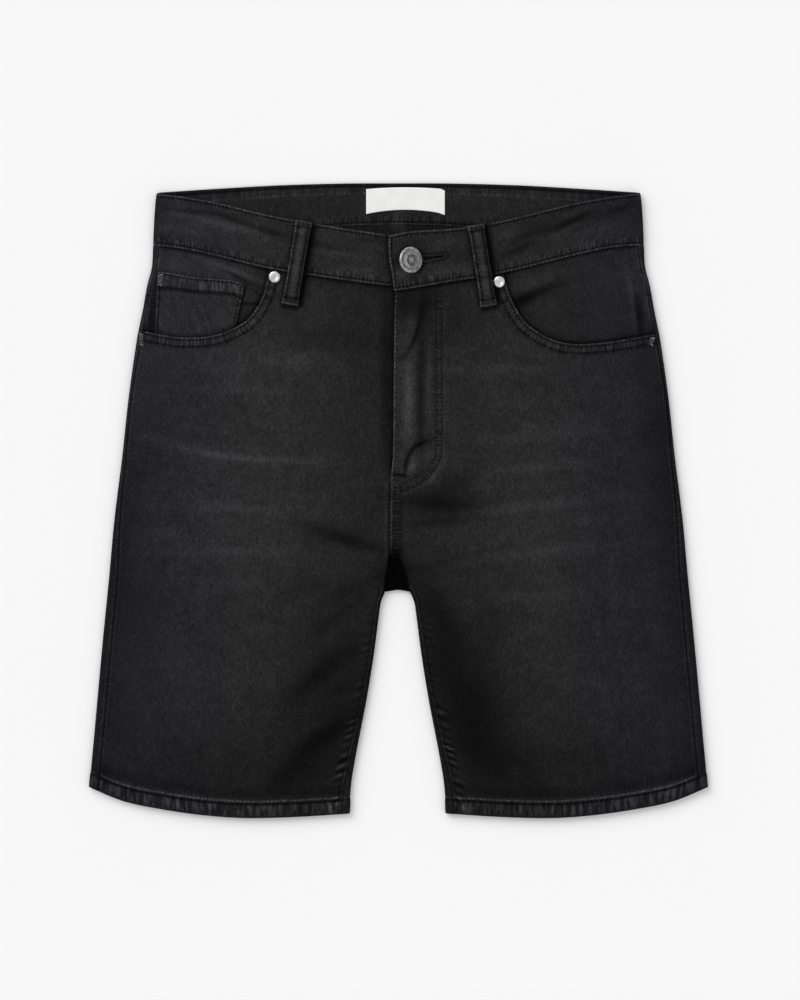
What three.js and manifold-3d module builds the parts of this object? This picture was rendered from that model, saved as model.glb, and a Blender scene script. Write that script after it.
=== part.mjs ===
import * as THREE from "three";
import { mergeVertices } from "three/addons/utils/BufferGeometryUtils.js";
import Module from "manifold-3d";

// Black five-pocket denim shorts, laid flat with the front up. Millimetres.
// X runs to the wearer's left, Y to the waist, Z up from the surface the shorts lie on.

// Cloth and seams
const CLOTH = 1.35;
const GAP = 0.3;
const BAND_WALL = 2.6;
const HEM_WALL = 2.5;
const HEM_DEPTH = 12.5;
const FOLD_RADIUS = 2.75;
const LOFT = 0.6;
const LOFT_REACH = 60;

// Waistband heights above the surface
const BAND_TOP_Z = 6.8;
const BAND_SIDE_Z = 6.4;
const OVERLAP_Z = 9.0;
const UNDERLAP_Z = 5.9;
const UNDERLAP_END_X = 30;

// Front fly: its lift over the right front, which rises above the fly's end and falls off to the side
const FLY_LIFT = 1.65;
const FLY_RISE = { from: 6, over: 24 };
const FLY_FALL = { from: 14, over: 32 };
const FLY_SHIELD = { inner: -6, outer: 30, low: 36, high: 166, bottom: 3.1, top: 4.3 };
const ZIP = { inner: 2.6, outer: 15, low: 42, high: 166, bottom: 4.65, top: 5.8 };

// Front pockets
const FACING_DROP = { left: 2.1, right: 2.85 };
const FACING_WALL = 1.0;
const FACING_BLEND = 12;
const FACING_FREE = { from: 3, over: 9 };
const COIN_WALL = 0.8;
const COIN_SAG = 1.4;

// Pieces on the back, let into the flat underside
const POCKET_WALL = 1.0;
const BACK_LOOP_WALL = 1.0;
const BACK_LOOP = { wide: 12.5, high: 60, below: 1.2, tops: [-106, 0, 106] };

// Metal
const BUTTON = { x: 9.4, y: 190.8, radius: 10.6, height: 2.4, tilt: 30, stem: 3.1, sunk: 0.9, clear: 0.4 };
const EYELET = { radius: 4.2, low: 6.05, high: 12.05 };
const BUTTONHOLE = { end: 37.5, wide: 1.5, rise: 8.5 };
const RIVET = { radius: 4.8, height: 1.5 };
const RIVETS = [
  { x: -99.1, y: 178.0 },
  { x: 80.5, y: 174.1 },
];

// Size label inside the back of the waistband
const LABEL = { x: 5.6, wide: 63, low: 228.6, lowBow: 3.4, high: 248.6, highBow: 1.4, wall: 0.8 };

// Side fold of the flat garment: half width, and how far the side seam lies in from it
const SIDE = [
  { y: -258, half: 250.6, seamIn: 7 },
  { y: -208, half: 245.6, seamIn: 7 },
  { y: -112, half: 236.8, seamIn: 7 },
  { y: -64, half: 232.0, seamIn: 6.6 },
  { y: -16, half: 227.6, seamIn: 4.6 },
  { y: 32, half: 221.6, seamIn: 3 },
  { y: 80, half: 216.4, seamIn: 2.2 },
  { y: 128, half: 209.6, seamIn: 3.4 },
  { y: 152, half: 204.8, seamIn: 3.8 },
  { y: 172, half: 201.2, seamIn: 3.5 },
  { y: 186, half: 197.6, seamIn: 4 },
  { y: 204, half: 196.6, seamIn: 5.6 },
  { y: 236, half: 194.8, seamIn: 5.6 },
  { y: 256, half: 192.4, seamIn: 5.6 },
];

// Inner fold of each leg: half of the gap between the legs, and how far the inseam lies in
const INNER = [
  { y: -72.4, gap: 9.4, seamIn: 1.7 },
  { y: -77, gap: 11.4, seamIn: 1.7 },
  { y: -82, gap: 13.3, seamIn: 1.7 },
  { y: -90, gap: 14.6, seamIn: 1.8 },
  { y: -124, gap: 19.0, seamIn: 2.0 },
  { y: -160, gap: 24.8, seamIn: 2.9 },
  { y: -208, gap: 34.0, seamIn: 4.5 },
  { y: -232, gap: 37.6, seamIn: 6.6 },
  { y: -262, gap: 38.8, seamIn: 7 },
];
const LEGS_X = -0.7;
const FORK_Y = -72.4;

// Hem line, and the lower and upper edges of the waistband on each layer
const HEM = [
  { x: 28, y: -250.6 },
  { x: 78, y: -253.9 },
  { x: 122, y: -255.0 },
  { x: 155, y: -252.8 },
  { x: 188, y: -248.2 },
  { x: 221, y: -241.2 },
  { x: 252, y: -228.2 },
];
const BAND_RIGHT = [
  { x: -198, low: 203.6, high: 245.0 },
  { x: -174, low: 200.6, high: 242.6 },
  { x: -146, low: 194.8, high: 237.6 },
  { x: -106, low: 185.1, high: 228.1 },
  { x: -68, low: 179.0, high: 221.0 },
  { x: -23, low: 172.8, high: 214.0 },
  { x: 4, low: 170.4, high: 211.0 },
  { x: 32, low: 173.6, high: 210.8 },
];
const BAND_LEFT = [
  { x: -9, low: 166.0, high: 210.8 },
  { x: 9, low: 168.4, high: 214.3 },
  { x: 41, low: 174.0, high: 216.4 },
  { x: 68, low: 178.2, high: 220.1 },
  { x: 94, low: 183.6, high: 225.6 },
  { x: 139, low: 194.8, high: 236.6 },
  { x: 169, low: 201.2, high: 242.0 },
  { x: 198, low: 203.6, high: 245.8 },
];
const BAND_BACK = [
  { x: 0, low: 220.2, high: 253.4 },
  { x: 42, low: 218.9, high: 253.3 },
  { x: 96, low: 213.6, high: 251.8 },
  { x: 146, low: 208.3, high: 249.0 },
  { x: 198, low: 203.6, high: 245.6 },
];
const OVERLAP_END = [
  { y: 160, x: -3.2 },
  { y: 180, x: -5.3 },
  { y: 195, x: -7.9 },
  { y: 212, x: -8.0 },
];

// Centre front: the lapped edge of the left front, and the edge of the right front beside or under it
const CENTRE_FRONT = [
  { y: 190, left: -2.4, right: 1.5 },
  { y: 120, left: -3.6, right: 1.5 },
  { y: 48, left: -4.2, right: 1.5 },
  { y: 34, left: -4.6, right: -5.4 },
  { y: 19.6, left: -6.0, right: -6.4 },
  { y: -10, left: -6.8, right: -7.2 },
  { y: -38, left: -7.0, right: -7.4 },
  { y: -47, left: -6.2, right: -6.6 },
  { y: -60, left: -3.4, right: -3.8 },
  { y: -72.4, left: -1.5, right: -1.9 },
];

// Hollow where both legs turn down into the fork
const FORK_HOLLOW = [
  { y: -34, x: -4.4, half: 0 },
  { y: -46.8, x: -3.6, half: 4.6 },
  { y: -56.4, x: -2.4, half: 6.8 },
  { y: -65, x: -1.8, half: 9 },
  { y: -72.4, x: -1.6, half: 10 },
  { y: -80, x: -1.4, half: 11 },
];
const HOLLOW_TOP_Y = -34;
const HOLLOW_FLOOR_Z = 3.4;
const HOLLOW_WALL = 2.6;

// Pocket mouths, from the waistband round to the side seam
const MOUTH_RIGHT = [
  { x: -103.2, y: 190 },
  { x: -105.0, y: 176 },
  { x: -110.2, y: 159 },
  { x: -122.6, y: 142.6 },
  { x: -146.4, y: 131.6 },
  { x: -176, y: 129.8 },
  { x: -212, y: 136.4 },
];
const MOUTH_LEFT = [
  { x: 82.6, y: 188 },
  { x: 85.2, y: 175 },
  { x: 91, y: 158.6 },
  { x: 104, y: 139.4 },
  { x: 129.2, y: 126.1 },
  { x: 160, y: 125.1 },
  { x: 210, y: 133 },
];

// Coin pocket: its four corners on the right facing
const COIN = { top: [-192.4, 182.0, -123.6, 170.4], bottom: [-195.6, 121.4, -133.4, 125.6] };

// Front belt loops: middle of the upper and lower ends
const FRONT_LOOP = { wide: 12.4, flare: 0.9, wall: 1.9, arch: 2.0, crown: 0.35 };
const FRONT_LOOPS = [
  { side: "right", top: [-75.4, 222.6], bottom: [-86.8, 155.8] },
  { side: "left", top: [61.8, 219.6], bottom: [72.2, 154.6] },
];

// Yoke seam and back pocket on one half of the back
const YOKE = [
  { x: 0, y: 146 },
  { x: 100, y: 152.5 },
  { x: 252, y: 157 },
];
const BACK_POCKET = [
  { x: 40, y: 102 },
  { x: 170, y: 109 },
  { x: 166, y: -16 },
  { x: 102, y: -40 },
  { x: 44, y: -20 },
];

// Broad folds pressed into the front while it lay: middle, direction, length, breadth, height
const FOLDS = [
  { x: -39, y: -36, turn: -17, long: 26, wide: 9, high: -0.5 },
  { x: 26, y: -5, turn: -10, long: 24, wide: 9, high: -0.45 },
  { x: -47, y: -88, turn: 45, long: 24, wide: 10, high: -0.45 },
  { x: -58, y: -139, turn: 31, long: 30, wide: 11, high: -0.5 },
  { x: -70, y: -203, turn: 27, long: 34, wide: 11, high: -0.5 },
  { x: 46, y: -128, turn: -63, long: 62, wide: 14, high: -0.5 },
  { x: -128, y: -60, turn: 84, long: 120, wide: 40, high: 0.35 },
  { x: 126, y: -66, turn: -84, long: 120, wide: 40, high: 0.35 },
];
const FOLDS_CLEAR = { from: 3, over: 12 };

// Rows of points from the hem to the waistband, and the columns across one front.
// A row near the hem or the waistband bends to it, and is straight further in.
const HEM_BLEND = 48;
const WAIST_ROW = 186;
const WAIST_BLEND_ROW = 120;
const YOKE_ROW = 157;
const YOKE_BLEND_ROW = 86;
const FACING_ROW = 112;
const HEM_ROW = -254;
const ROWS = [
  HEM_ROW, HEM_ROW + HEM_DEPTH, -228, -206, -182, -158, -132, -110, -94, -85, -79, -75,
  FORK_Y, -65, -56.4, -47, -38, -20, 0, 19.6, 34, 48, 66, 90,
  FACING_ROW, 123, 134, 145, YOKE_ROW, 167, 177, WAIST_ROW,
];
// Rows between these two follow the centre edge without a bend
const EDGE_ROWS = { low: -79, high: 140 };
const FRONT_COLUMNS = [0, 0.09, 0.2, 0.32, 0.44, 0.56, 0.67, 0.76, 0.84, 0.91, 0.965, 1];
const FLAT_COLUMNS = [0, 0.2, 0.4, 0.6, 0.8, 1];
const SIDE_ANGLES = [86, 56, 14, -28, -62, -90];
const INNER_ANGLES = [-90, -58, -18, 22, 56];

// Columns beside the centre edge: the first one's breadth, and how far the others keep off it.
// Where the front turns down into the hollow they stand on both sides of its wall.
const FOOT = 1.6;
const FOOT_CLEAR = 3;
const FOOT_REACH = 14;
const FOOT_ROWS = { low: -74, high: -36 };

// Heights below and above the whole garment, and the height inside the cloth from which a let-in is raised
const UNDER_ALL = -5;
const OVER_ALL = 20;
const IN_CLOTH = 0.7;
const WIDE_OF_ALL = 260;

const DEGREE = Math.PI / 180;
const clamp = (v, low, high) => Math.min(high, Math.max(low, v));
const mix = (a, b, k) => a + (b - a) * k;
const smooth = (k) => {
  const c = clamp(k, 0, 1);
  return c * c * (3 - 2 * c);
};

// 0 before a slope, 1 past it, and smooth between
const ramp = ({ from, over }, at) => smooth((at - from) / over);

// Smooth line through one column of a table, read at a value of another column
function reader(table, from, to) {
  const rows = [...table].sort((a, b) => a[from] - b[from]);
  const slopeAt = (i) => {
    const a = rows[Math.max(0, i - 1)];
    const b = rows[Math.min(rows.length - 1, i + 1)];
    return (b[to] - a[to]) / (b[from] - a[from]);
  };
  return (at) => {
    let i = rows.findIndex((row) => row[from] > at) - 1;
    if (i === -2) i = rows.length - 2;
    i = clamp(i, 0, rows.length - 2);
    const [a, b] = [rows[i], rows[i + 1]];
    const step = b[from] - a[from];
    const k = (clamp(at, a[from], b[from]) - a[from]) / step;
    const [k2, k3] = [k * k, k * k * k];
    return (
      (2 * k3 - 3 * k2 + 1) * a[to] +
      (k3 - 2 * k2 + k) * step * slopeAt(i) +
      (3 * k2 - 2 * k3) * b[to] +
      (k3 - k2) * step * slopeAt(i + 1)
    );
  };
}

const sideHalf = reader(SIDE, "y", "half");
const sideSeamIn = reader(SIDE, "y", "seamIn");
const innerGap = reader(INNER, "y", "gap");
const inseamIn = reader(INNER, "y", "seamIn");
const hemY = reader(HEM, "x", "y");
const centreLeft = reader(CENTRE_FRONT, "y", "left");
const centreRight = reader(CENTRE_FRONT, "y", "right");
const hollowX = reader(FORK_HOLLOW, "y", "x");
const hollowHalf = reader(FORK_HOLLOW, "y", "half");
const overlapEnd = reader(OVERLAP_END, "y", "x");
const yokeY = reader(YOKE, "x", "y");
const bandLow = {
  right: reader(BAND_RIGHT, "x", "low"),
  left: reader(BAND_LEFT, "x", "low"),
  back: reader(BAND_BACK, "x", "low"),
};
const bandHigh = {
  right: reader(BAND_RIGHT, "x", "high"),
  left: reader(BAND_LEFT, "x", "high"),
  back: reader(BAND_BACK, "x", "high"),
};

// Inner fold of one leg; s is +1 on the wearer's left and -1 on the right
const innerX = (s, y) => LEGS_X + s * innerGap(y);

// Distance from a point to the inner fold of its leg, round the corner at the fork
const FORK_STEPS = [-72.4, -74, -77, -80, -84, -90, -100];
function innerDistance(s, x, y) {
  if (y < -96) return s * (x - innerX(s, y));
  let nearest = 1000;
  for (let i = 0; i + 1 < FORK_STEPS.length; i += 1) {
    const [ya, yb] = [FORK_STEPS[i], FORK_STEPS[i + 1]];
    const [xa, xb] = [innerX(s, ya), innerX(s, yb)];
    const along = (x - xa) * (xb - xa) + (y - ya) * (yb - ya);
    const k = clamp(along / ((xb - xa) ** 2 + (yb - ya) ** 2), 0, 1);
    nearest = Math.min(nearest, Math.hypot(x - mix(xa, xb, k), y - mix(ya, yb, k)));
  }
  return nearest;
}

// Height of the cloth over a fold, at a distance in from its edge
function overFold(d, radius) {
  if (d >= radius) return 2 * radius;
  return radius + Math.sqrt(Math.max(0, radius ** 2 - (radius - d) ** 2));
}

function folds(x, y) {
  let z = 0;
  for (const fold of FOLDS) {
    const turn = fold.turn * DEGREE;
    const along = (x - fold.x) * Math.cos(turn) + (y - fold.y) * Math.sin(turn);
    const across = (y - fold.y) * Math.cos(turn) - (x - fold.x) * Math.sin(turn);
    z += fold.high * Math.exp(-((along / fold.long) ** 2) - (across / fold.wide) ** 2);
  }
  return z;
}

// The left front is lifted where its fly laps over the right front
function flyLift(s, x, y) {
  if (s < 0) return 0;
  return FLY_LIFT * ramp(FLY_RISE, y) * (1 - ramp(FLY_FALL, x));
}

// Outside of the front layer
function frontTop(s, x, y) {
  const d = Math.min(sideHalf(y) - s * x, innerDistance(s, x, y));
  const flat = overFold(d, FOLD_RADIUS) + LOFT * smooth(d / LOFT_REACH);
  const cloth = flat + folds(x, y) * ramp(FOLDS_CLEAR, d);
  const into = (hollowHalf(y) - Math.abs(x - hollowX(y))) / HOLLOW_WALL;
  const hollow = y < HOLLOW_TOP_Y ? smooth(into) * (cloth - HOLLOW_FLOOR_Z) : 0;
  return cloth - hollow + flyLift(s, x, y);
}

function frontNormal(s, x, y) {
  const step = 0.4;
  const slope = (frontTop(s, x + step, y) - frontTop(s, x - step, y)) / (2 * step);
  return [-slope / Math.hypot(1, slope), 1 / Math.hypot(1, slope)];
}

// Cloth box bent to its place: across 0..1, along 0..1, inside 0 and outside 1
function bent(across, along, place) {
  const box = new THREE.BoxGeometry(1, 1, 1, across, along, 1);
  const at = box.attributes.position;
  for (let i = 0; i < at.count; i += 1) {
    const p = place(at.getX(i) + 0.5, at.getY(i) + 0.5, Math.round(at.getZ(i) + 0.5));
    at.setXYZ(i, p[0], p[1], p[2]);
  }
  return outward(box);
}

// Weld the corners of a shape and make its faces look outward
function outward(geometry) {
  const bare = geometry.clone();
  bare.deleteAttribute("normal");
  bare.deleteAttribute("uv");
  const welded = mergeVertices(bare, 1e-4);
  const at = welded.attributes.position;
  const index = welded.index.array;
  const [a, b, c] = [new THREE.Vector3(), new THREE.Vector3(), new THREE.Vector3()];
  let volume = 0;
  for (let i = 0; i < index.length; i += 3) {
    a.fromBufferAttribute(at, index[i]);
    b.fromBufferAttribute(at, index[i + 1]);
    c.fromBufferAttribute(at, index[i + 2]);
    volume += a.dot(b.cross(c));
  }
  if (volume < 0) {
    for (let i = 0; i < index.length; i += 3) {
      [index[i + 1], index[i + 2]] = [index[i + 2], index[i + 1]];
    }
  }
  return welded;
}

const wasm = await Module();
wasm.setup();

function toManifold(geometry) {
  const welded = outward(geometry);
  const mesh = new wasm.Mesh({
    numProp: 3,
    vertProperties: Float32Array.from(welded.attributes.position.array),
    triVerts: Uint32Array.from(welded.index.array),
  });
  return new wasm.Manifold(mesh);
}

function fromManifold(solid) {
  const mesh = solid.getMesh();
  const geometry = new THREE.BufferGeometry();
  geometry.setAttribute("position", new THREE.BufferAttribute(Float32Array.from(mesh.vertProperties), 3));
  geometry.setIndex(Array.from(mesh.triVerts));
  return geometry;
}

// Upright prism over an outline, between two heights
function prism(points, low, high) {
  const shape = new THREE.Shape(points.map((p) => new THREE.Vector2(p[0], p[1])));
  const body = new THREE.ExtrudeGeometry(shape, { depth: high - low, bevelEnabled: false, steps: 1 });
  return toManifold(body.translate(0, 0, low));
}

// Outline moved outward by a distance, its corners kept
function grown(points, by) {
  const area = THREE.ShapeUtils.area(points.map((p) => new THREE.Vector2(p[0], p[1])));
  const turn = area < 0 ? -1 : 1;
  return points.map((p, i) => {
    const before = points[(i + points.length - 1) % points.length];
    const after = points[(i + 1) % points.length];
    const edge = (a, b) => {
      const long = Math.hypot(b[0] - a[0], b[1] - a[1]);
      return [(turn * (b[1] - a[1])) / long, (-turn * (b[0] - a[0])) / long];
    };
    const [n1, n2] = [edge(before, p), edge(p, after)];
    const k = by / (1 + n1[0] * n2[0] + n1[1] * n2[1]);
    return [p[0] + (n1[0] + n2[0]) * k, p[1] + (n1[1] + n2[1]) * k];
  });
}

// Where a row of points lies over a place across: straight in the middle, bent to the hem and upper edge
function rowY(row, x, upper) {
  const hem = 1 - smooth((row - HEM_ROW) / HEM_BLEND);
  const waist = smooth((row - WAIST_BLEND_ROW) / (WAIST_ROW - WAIST_BLEND_ROW));
  return row + hem * (hemY(Math.abs(x)) - HEM_ROW) + waist * (upper - WAIST_ROW);
}

// Front panels
function frontEdgeX(s, y) {
  if (y <= FORK_Y) return innerX(s, y) + s * inseamIn(y);
  return s > 0 ? centreLeft(y) : centreRight(y);
}

function frontPoint(s, column, row) {
  const side = s > 0 ? "left" : "right";
  let [x, y] = [0, row];
  for (let pass = 0; pass < 4; pass += 1) {
    const bends = row < EDGE_ROWS.low || row > EDGE_ROWS.high;
    const xa = frontEdgeX(s, bends ? y : row);
    const xb = s * (sideHalf(y) - sideSeamIn(y) - GAP / 2);
    const wall = clamp(s * (hollowX(y) + s * hollowHalf(y) - xa), 0, FOOT_REACH);
    const hollow = y < FOOT_ROWS.high && y > FOOT_ROWS.low;
    const foot = hollow ? Math.max(FOOT, wall - HOLLOW_WALL) : FOOT;
    const steps = [xa, xa + s * foot, xa + s * (foot + HOLLOW_WALL)];
    if (column < steps.length) x = steps[column];
    else x = mix(steps[2] + s * FOOT_CLEAR, xb, FRONT_COLUMNS[column - steps.length]);
    y = rowY(row, x, bandLow[side](x) - GAP);
  }
  return [x, y];
}

function frontPanel(s) {
  const last = ROWS.length - 1;
  const columns = FRONT_COLUMNS.length + 2;
  return bent(columns, last, (u, v, w) => {
    const [column, rowAt] = [Math.round(u * columns), Math.round(v * last)];
    const [x, y] = frontPoint(s, column, ROWS[rowAt]);
    const [nx, nz] = frontNormal(s, column === columns ? s * (sideHalf(y) - sideSeamIn(y)) : x, y);
    const wall = rowAt < 2 ? HEM_WALL : CLOTH;
    const z = frontTop(s, x, y);
    return w ? [x, y, z] : [x - nx * wall, y, z - nz * wall];
  });
}

const mouthCurve = (table) => new THREE.SplineCurve(table.map((row) => new THREE.Vector2(row.x, row.y)));
function mouthPrism(table, s) {
  const line = mouthCurve(table).getPoints(28).map((p) => [p.x, p.y]);
  const out = s * WIDE_OF_ALL;
  line.push([out, table.at(-1).y], [out, WIDE_OF_ALL], [table[0].x, WIDE_OF_ALL]);
  return prism(line, UNDER_ALL, OVER_ALL);
}

// Back layer: section of one half at a height, from the side seam on top, round the fold, to the middle
function backSection(s, y, toCentre) {
  const [half, seam] = [sideHalf(y), sideSeamIn(y) - GAP / 2];
  const points = [];
  const onTop = (x, seamX) => {
    const [nx, nz] = frontNormal(s, seamX, y);
    points.push({ x, z: frontTop(s, x, y), nx, nz });
  };
  onTop(s * (half - seam), s * (half - sideSeamIn(y)));
  const seamAngle = seam < FOLD_RADIUS ? Math.acos((FOLD_RADIUS - seam) / FOLD_RADIUS) / DEGREE : 90;
  for (const angle of SIDE_ANGLES) {
    const a = Math.min(angle, seamAngle - 4 - (86 - angle) * 0.2) * DEGREE;
    const turn = { nx: s * Math.cos(a), nz: Math.sin(a) };
    points.push({
      x: s * (half - FOLD_RADIUS) + turn.nx * FOLD_RADIUS,
      z: FOLD_RADIUS + turn.nz * FOLD_RADIUS,
      ...turn,
    });
  }
  const inner = innerX(s, Math.min(y, FORK_Y));
  const flatEnd = inner + s * FOLD_RADIUS;
  for (const k of FLAT_COLUMNS.slice(1, -1)) {
    points.push({ x: mix(s * (half - FOLD_RADIUS), flatEnd, k), z: 0, nx: 0, nz: -1 });
  }
  if (toCentre) {
    for (let i = 0; i <= INNER_ANGLES.length; i += 1) {
      points.push({ x: mix(flatEnd, (s * GAP) / 2, i / INNER_ANGLES.length), z: 0, nx: 0, nz: -1 });
    }
    return points;
  }
  for (const angle of INNER_ANGLES) {
    const a = angle * DEGREE;
    const turn = { nx: -s * Math.cos(a), nz: Math.sin(a) };
    points.push({
      x: inner + s * FOLD_RADIUS + turn.nx * FOLD_RADIUS,
      z: FOLD_RADIUS * (1 + turn.nz),
      ...turn,
    });
  }
  onTop(inner + s * (inseamIn(y) - GAP), inner + s * inseamIn(y));
  return points;
}

function backSheet(s, rows, upper, lower) {
  const last = rows.length - 1;
  const columns = backSection(s, 0, true).length - 1;
  return bent(columns, last, (u, v, w) => {
    const [column, rowAt] = [Math.round(u * columns), Math.round(v * last)];
    const row = rows[rowAt];
    let y = row;
    for (let pass = 0; pass < 4; pass += 1) {
      const p = backSection(s, y, row >= FORK_Y)[column];
      const share = clamp(p.z / (2 * FOLD_RADIUS), 0, 1);
      const low = mix(bandLow.back(Math.abs(p.x)), bandLow[s > 0 ? "left" : "right"](p.x), share);
      y = rowY(row, p.x, low - GAP);
      const yokeShift = yokeY(Math.abs(p.x)) - YOKE_ROW;
      y += upper(row) * (yokeShift - GAP / 2) + lower(row) * (yokeShift + GAP / 2);
    }
    const p = backSection(s, y, row >= FORK_Y)[column];
    const wall = rowAt < 2 && row < YOKE_ROW ? HEM_WALL : CLOTH;
    return w ? [p.x, y, p.z] : [p.x - p.nx * wall, y, p.z - p.nz * wall];
  });
}

// Let a flat piece into the underside: the cloth steps up over it
function overPiece(cloth, points, piece) {
  const raised = prism(grown(points, GAP + CLOTH), IN_CLOTH, piece + GAP + CLOTH);
  const hollow = prism(grown(points, GAP), UNDER_ALL, piece + GAP);
  return cloth.add(raised).subtract(hollow);
}

const pocketPoints = (s) => BACK_POCKET.map((p) => [s * p.x, p.y]);
function backLoopPoints(x) {
  const top = bandHigh.back(Math.abs(x)) - BACK_LOOP.below;
  const [low, half] = [top - BACK_LOOP.high, BACK_LOOP.wide / 2];
  return [[x - half, low], [x + half, low], [x + half, top], [x - half, top]];
}

function backPanel(s) {
  const rows = ROWS.filter((row) => row <= YOKE_ROW);
  const nearYoke = (row) => smooth((row - YOKE_BLEND_ROW) / (YOKE_ROW - YOKE_BLEND_ROW));
  const sheet = backSheet(s, rows, nearYoke, () => 0);
  return fromManifold(overPiece(toManifold(sheet), pocketPoints(s), POCKET_WALL));
}

function yoke(s) {
  const rows = ROWS.filter((row) => row >= YOKE_ROW);
  const nearSeam = (row) => 1 - smooth((row - YOKE_ROW) / (WAIST_ROW - YOKE_ROW));
  const sheet = backSheet(s, rows, () => 0, nearSeam);
  let cloth = toManifold(sheet);
  const half = yokeArea(s);
  for (const x of BACK_LOOP.tops) {
    if (x * s < 0) continue;
    const raised = prism(grown(backLoopPoints(x), GAP + CLOTH), IN_CLOTH, BACK_LOOP_WALL + GAP + CLOTH);
    cloth = cloth.add(raised.intersect(half));
    cloth = cloth.subtract(prism(grown(backLoopPoints(x), GAP), UNDER_ALL, BACK_LOOP_WALL + GAP));
  }
  return fromManifold(cloth);
}

// Area of one half, from the centre seam out, below the back edge of the waistband
function yokeArea(s) {
  const out = sideHalf(WAIST_ROW);
  const edge = [[(s * GAP) / 2, 0], [s * out, 0]];
  for (let i = 0; i <= 20; i += 1) {
    const x = mix(out, GAP / 2, i / 20);
    edge.push([s * x, bandLow.back(x) - GAP]);
  }
  return prism(edge, UNDER_ALL, OVER_ALL);
}

// Waistband height over the surface, on the front: it steps down to the underlap, up to the lap,
// and down to the side folds
const BAND_SLOPES = {
  underlap: { from: -48, over: 38 },
  lap: { from: 32, over: 50 },
  side: { from: 150, over: 40 },
};
const bandZ = {
  right: (x) => mix(BAND_TOP_Z, UNDERLAP_Z, ramp(BAND_SLOPES.underlap, x)),
  left: (x) => mix(OVERLAP_Z, BAND_TOP_Z, ramp(BAND_SLOPES.lap, x)),
};
const bandSideDrop = (x) => (BAND_TOP_Z - BAND_SIDE_Z) * ramp(BAND_SLOPES.side, Math.abs(x));

// Stations along the waistband: overlap end, left fold, back, right fold, underlap end
const LAP_STEPS = [0, 0.05, 0.1, 0.17, 0.25, 0.34, 0.44, 0.54, 0.63, 0.71, 0.78, 0.85, 0.91, 0.96, 1];
const UNDERLAP_STEPS = [
  1, 0.96, 0.91, 0.85, 0.79, 0.72, 0.63, 0.54, 0.45, 0.36, 0.28, 0.21, 0.16, 0.11, 0.05, 0,
];
const BAND_ANGLES = [60, 30, 0, -30, -60];
const BACK_STEPS = 20;
const BAND_MIDDLE_Y = 225;
function bandStations() {
  const stations = LAP_STEPS.map((k) => ({ layer: "left", s: 1, k }));
  for (const angle of BAND_ANGLES) stations.push({ layer: "fold", s: 1, angle });
  for (let i = 0; i <= BACK_STEPS; i += 1) stations.push({ layer: "back", s: 1 - (2 * i) / BACK_STEPS });
  for (const angle of BAND_ANGLES) stations.push({ layer: "fold", s: -1, angle: -angle });
  for (const k of UNDERLAP_STEPS) stations.push({ layer: "right", s: -1, k });
  return stations;
}

function bandPoint(station, v, w) {
  const { layer, s } = station;
  const inset = BAND_SIDE_Z / 2;
  let [x, y] = [0, BAND_MIDDLE_Y];
  for (let pass = 0; pass < 4; pass += 1) {
    const wide = sideHalf(y) - inset;
    if (layer === "left") x = mix(overlapEnd(y), wide, station.k);
    if (layer === "right") x = mix(UNDERLAP_END_X, -wide, station.k);
    if (layer === "back") x = s * wide;
    if (layer === "fold") x = s * (wide + inset * Math.cos(station.angle * DEGREE));
    if (layer === "fold") {
      const front = s > 0 ? "left" : "right";
      const share = (1 + Math.sin(station.angle * DEGREE)) / 2;
      y = mix(
        mix(bandLow.back(Math.abs(x)), bandLow[front](x), share),
        mix(bandHigh.back(Math.abs(x)), bandHigh[front](x), share),
        v,
      );
    } else {
      const at = layer === "back" ? Math.abs(x) : x;
      y = mix(bandLow[layer](at), bandHigh[layer](at), v);
    }
  }
  if (layer === "back") return [x, y, w ? 0 : BAND_WALL];
  if (layer === "fold") {
    const a = station.angle * DEGREE;
    const reach = w ? 0 : BAND_WALL;
    return [x - s * Math.cos(a) * reach, y, inset + Math.sin(a) * (inset - reach)];
  }
  const z = bandZ[layer](x) - bandSideDrop(x);
  return [x, y, w ? z : z - BAND_WALL];
}

function buttonholeAim() {
  const rise = BUTTONHOLE.rise * DEGREE;
  return [Math.cos(rise), Math.sin(rise)];
}

function waistband() {
  const stations = bandStations();
  const last = stations.length - 1;
  const ring = bent(last, 3, (u, v, w) => bandPoint(stations[Math.round(u * last)], v, w));
  const [cx, cy] = buttonholeAim();
  const half = BUTTONHOLE.wide / 2;
  const long = BUTTONHOLE.end - BUTTON.x;
  const corner = (along, across) => [
    BUTTON.x + cx * along - cy * across,
    BUTTON.y + cy * along + cx * across,
  ];
  const corners = [corner(0, -half), corner(long, -half), corner(long, half), corner(0, half)];
  const slot = prism(corners, EYELET.low, EYELET.high);
  const eyelet = new THREE.CylinderGeometry(EYELET.radius, EYELET.radius, EYELET.high - EYELET.low, 20);
  eyelet.rotateX(Math.PI / 2).translate(BUTTON.x, BUTTON.y, (EYELET.high + EYELET.low) / 2);
  let band = toManifold(ring).subtract(slot).subtract(toManifold(eyelet));
  for (const x of BACK_LOOP.tops) {
    band = band.subtract(prism(grown(backLoopPoints(x), GAP), UNDER_ALL, BACK_LOOP_WALL + GAP));
  }
  return fromManifold(band);
}

// Pocket facing under the mouth, set down inside and level with the cloth at its sewn edges
function facingDrop(s, x, y) {
  const side = s > 0 ? "left" : "right";
  const table = s > 0 ? MOUTH_LEFT : MOUTH_RIGHT;
  const curve = mouthCurve(table);
  let mouth = 1000;
  for (const p of curve.getPoints(36)) mouth = Math.min(mouth, Math.hypot(p.x - x, p.y - y));
  const edges = Math.min(sideHalf(y) - sideSeamIn(y) - s * x, bandLow[side](x) - y);
  const free = ramp(FACING_FREE, mouth) * insideMouth(table, s, x, y);
  const near = (1 - smooth(edges / FACING_BLEND)) * free;
  return FACING_DROP[side] * (1 - near);
}

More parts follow.
